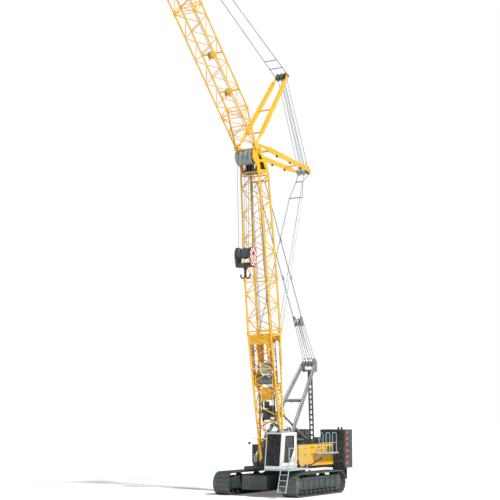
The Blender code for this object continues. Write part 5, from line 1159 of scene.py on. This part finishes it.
corners = [on_screen(x, z) for x, z in ((screen_low[0], screen_low[2]), (screen_high[0], screen_low[2]),
                                        (screen_high[0], screen_high[2]), (screen_low[0], screen_high[2]))]
ring = np.array(corners) + [0, 0.012, 0]
middle_x = (screen_low[0] + screen_high[0]) / 2
wiper = join(tubes(ring, np.roll(ring, -1, axis=0), SEAL, 8),
             tubes([on_screen(screen_low[0], screen_low[2] + 0.62) + [0, 0.012, 0]],
                   [on_screen(screen_high[0], screen_low[2] + 0.62) + [0, 0.012, 0]], 0.020, 8),
             tubes(on_screen(middle_x, screen_high[2] - 0.02),
                   on_screen(middle_x + 0.05, screen_high[2] - 0.42), 0.009, 6),
             boxes(on_screen(middle_x - 0.02, screen_high[2] - 0.75),
                   on_screen(middle_x + 0.02, screen_high[2] - 0.25) + [0.02, 0.02, 0]))
make("windscreen_trim", "upperworks", wiper, "black_rubber", smooth=True)

# %% [markdown]
# The seat has three cushions in cloth on a dark frame with two levers. Each cushion is a rounded block
# whose top swells between its seams. A subdivided box could do it, but the formula keeps the seams
# sharp and the swell even.

# %% Operator's seat
SEAM = 0.010


def cushion(centre, size, dome, seams=3, rows=48, columns=96):
    """A padded block: a superellipsoid, x = a c(u) c(v) with c = sign(cos)|cos|^0.35, its top raised by a
    dome that fades to the edges, and drawn in by a narrow groove along each seam."""
    u = np.linspace(-math.pi / 2, math.pi / 2, rows)[:, None]
    v = np.linspace(0, 2 * math.pi, columns, endpoint=False)[None]

    def power(value, exponent=0.35):
        return np.sign(value) * np.abs(value) ** exponent

    x = power(np.cos(u)) * power(np.cos(v))
    y = power(np.cos(u)) * power(np.sin(v))
    z = power(np.sin(u)) * np.ones_like(v)
    swell = dome * (1 - x ** 2) * (1 - y ** 2) * np.clip(z, 0, 1)
    groove = sum(np.exp(-((x - place) * size[0] / SEAM) ** 2) for place in np.linspace(-0.5, 0.5, seams))
    z = z * size[2] + swell - SEAM * 0.6 * groove * np.clip(z, 0, 1)
    points = np.stack([x * size[0], y * size[1], z], -1).reshape(-1, 3)
    return points + centre, [ring_quads(rows, columns)]


seat_low, seat_high = (np.array(corner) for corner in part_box("operator_seat"))
seat_x = (seat_low[0] + seat_high[0]) / 2
base = cushion((0, 0, 0), (0.25, 0.25, 0.065), 0.02)
back = cushion((0, 0, 0), (0.24, 0.33, 0.055), 0.02)
head = cushion((0, 0, 0), (0.15, 0.09, 0.05), 0.01, seams=1)
lean_back = np.array([[1.0, 0, 0], [0, 0.12, -0.993], [0, 0.993, 0.12]])
seat = join(moved(base, (np.array([seat_x, -2.37, seat_low[2] + 0.41]), np.eye(3))),
            moved(back, (np.array([seat_x, -2.115, seat_low[2] + 0.78]), lean_back)),
            moved(head, (np.array([seat_x, -2.075, seat_low[2] + 1.10]), lean_back)))
padding = make("seat_cushions", "upperworks", seat, "seat_fabric", smooth=True, stands_for=["operator_seat"])
frame_bars = join(
    boxes([(seat_x - 0.14, -2.50, seat_low[2]), (seat_x - 0.20, -2.55, seat_low[2] + 0.28),
           (seat_x - 0.38, -2.55, seat_low[2] + 0.50),
           (seat_x + 0.27, -2.55, seat_low[2] + 0.50), (seat_x - 0.37, -2.20,
                                                        seat_low[2] + 0.30), (seat_x + 0.30, -2.20,
                                                                              seat_low[2] + 0.30)],
          [(seat_x + 0.14, -2.16, seat_low[2] + 0.30), (seat_x + 0.20, -2.12, seat_low[2] + 0.35),
           (seat_x - 0.27, -2.12, seat_low[2] + 0.58),
           (seat_x + 0.38, -2.12, seat_low[2] + 0.58), (seat_x - 0.30, -2.12,
                                                        seat_low[2] + 0.52), (seat_x + 0.37, -2.12,
                                                                              seat_low[2] + 0.52)]),
    tubes([(seat_x - 0.325, -2.50, seat_low[2] + 0.56), (seat_x + 0.325, -2.50, seat_low[2] + 0.56)],
          [(seat_x - 0.325, -2.53, seat_low[2] + 0.74),
           (seat_x + 0.325, -2.53, seat_low[2] + 0.74)], 0.018, 10))
make("seat_base_and_levers", "upperworks", frame_bars, "black_rubber", bevel=0.008)

# %% [markdown]
# A work lamp is a dished steel bowl with a lens near its rim, and a beacon is two short coloured
# cylinders on a foot. All are turned shapes: made about X like every wheel here, then turned forwards
# or upwards by a matrix.

# %% Lamps and beacon


def lamp(radius, depth):
    """A work lamp about X, later turned to face forwards: a bowl that widens to its rim."""
    profile = [(0, radius * 0.35), (depth * 0.35, radius * 0.8), (depth * 0.8, radius), (depth, radius),
               (depth, radius * 0.9)]
    return turned(profile, (0, 0, 0), 24)


FORWARD = np.array([[0, 1, 0], [-1, 0, 0], [0, 0, 1.0]])
lamp_spots = [at(1.12, -3.30, 3.56), at(1.74, -3.30, 3.56), at(-1.05, -1.62, 2.86)]
make("work_lamp_bowls", "upperworks", join(*[moved(lamp(0.075, 0.09),
                                                   (spot, FORWARD)) for spot in lamp_spots]),
     "black_paint", smooth=True)
lens = turned([(0.075, 0.068), (0.084, 0.060), (0.088, 0.02)], (0, 0, 0), 24)
make("work_lamp_lenses", "upperworks", join(*[moved(lens, (spot, FORWARD)) for spot in lamp_spots]),
     "lamp_glass", smooth=True)
UPWARD = np.array([[0, 0, -1.0], [0, 1, 0], [1, 0, 0]])
beacon = at(1.40, -1.72, 3.52)
for name, profile, finish in (("beacon_base", [(0, 0.05), (0.10, 0.05), (0.12, 0.045)], "black_paint"),
                              ("beacon_green", [(0.12, 0.045), (0.19, 0.045)], "green_lens"),
                              ("beacon_amber", [(0.19, 0.045), (0.25, 0.042), (0.275, 0.02)], "amber_lens")):
    make(name, "upperworks", moved(turned(profile, (0, 0, 0), 20), (beacon, UPWARD)), finish,
         smooth=finish != "black_paint")
print("cab pieces", [name for name in made if "seat" in name or "lamp" in name or "beacon" in name])

# %% [markdown]
# ## Stage
# A pale floor, a soft sun from above and the side, and a camera a little above the cab's roof, far in
# front of the machine. The backdrop's white comes from a second background that only the camera sees,
# because stronger lamps would wash out the paint.

# %% Floor
FLOOR_HALF = 600.0
plane = bpy.data.meshes.new("floor")
corner_points = [(-FLOOR_HALF, -FLOOR_HALF), (FLOOR_HALF, -FLOOR_HALF), (FLOOR_HALF, FLOOR_HALF),
                 (-FLOOR_HALF, FLOOR_HALF)]
plane.from_pydata([(x, y, -BELLY - 0.002) for x, y in corner_points], [], [(0, 1, 2, 3)])
floor = bpy.data.objects.new("floor", plane)
bpy.context.scene.collection.objects.link(floor)
ground = bpy.data.materials.new("pale_floor")
ground.use_nodes = True
surface = ground.node_tree.nodes["Principled BSDF"]
surface.inputs["Base Color"].default_value = (0.93, 0.93, 0.93, 1)
surface.inputs["Roughness"].default_value = 0.9
surface.inputs["Emission Color"].default_value = (1, 1, 1, 1)
FLOOR_LIFT = 0.16
lift = ground.node_tree.nodes.new("ShaderNodeLightPath")
soft = ramp(ground.node_tree, lift, "Is Camera Ray", 0, 1, 0, FLOOR_LIFT)
link(ground.node_tree, soft, "Result", surface, "Emission Strength")
plane.materials.append(ground)

# %% [markdown]
# The fill light is the world itself, dim and a little blue like a clear sky. A mix chosen by the kind of
# ray shows plain white to the camera and through glass, and the dim fill to everything else.

# %% Sky and sun
world = bpy.data.worlds.new("studio")
bpy.context.scene.world = world
world.use_nodes = True
tree = world.node_tree
fill = tree.nodes["Background"]
fill.inputs["Color"].default_value = (0.95, 0.97, 1.0, 1)
fill.inputs["Strength"].default_value = 0.26
white = tree.nodes.new("ShaderNodeBackground")
white.inputs["Color"].default_value = (1, 1, 1, 1)
seen = tree.nodes.new("ShaderNodeLightPath")
either = tree.nodes.new("ShaderNodeMath")
either.operation = "MAXIMUM"
tree.links.new(seen.outputs["Is Camera Ray"], either.inputs[0])
tree.links.new(seen.outputs["Is Transmission Ray"], either.inputs[1])
choice = tree.nodes.new("ShaderNodeMixShader")
tree.links.new(either.outputs[0], choice.inputs[0])
tree.links.new(fill.outputs[0], choice.inputs[1])
tree.links.new(white.outputs[0], choice.inputs[2])
tree.links.new(choice.outputs[0], tree.nodes["World Output"].inputs["Surface"])

sun = bpy.data.lights.new("key", "SUN")
sun.energy = 4.0
sun.angle = math.radians(5)
key = bpy.data.objects.new("key", sun)
key.rotation_euler = (math.radians(42), math.radians(10), math.radians(55))
bpy.context.scene.collection.objects.link(key)
bpy.context.scene.view_settings.view_transform = "Standard"

# %% [markdown]
# A long lens far away keeps the boom's uprights nearly parallel, as a tall machine looks from across a
# yard. The camera looks up by a few degrees to bring in the jib's head.

# %% Camera
camera = bpy.data.objects.new("camera", bpy.data.cameras.new("camera"))
LENS, SENSOR = 86.26, 36.0
EYE = at(33.521, -60.635, 4.514)
LOOK_UP, LOOK_ACROSS = 7.766, 30.367
camera.data.lens = LENS
camera.data.sensor_width = SENSOR
camera.data.clip_end = 3000
camera.location = EYE
camera.rotation_euler = (math.radians(90 + LOOK_UP), 0, math.radians(LOOK_ACROSS))
bpy.context.scene.collection.objects.link(camera)
bpy.context.scene.camera = camera
print("camera at", tuple(round(value, 2) for value in camera.location))

# %% [markdown]
# The number of new pieces and of their faces is printed.

# %% Piece count
print("pieces", len(made), "faces", sum(made.values()))
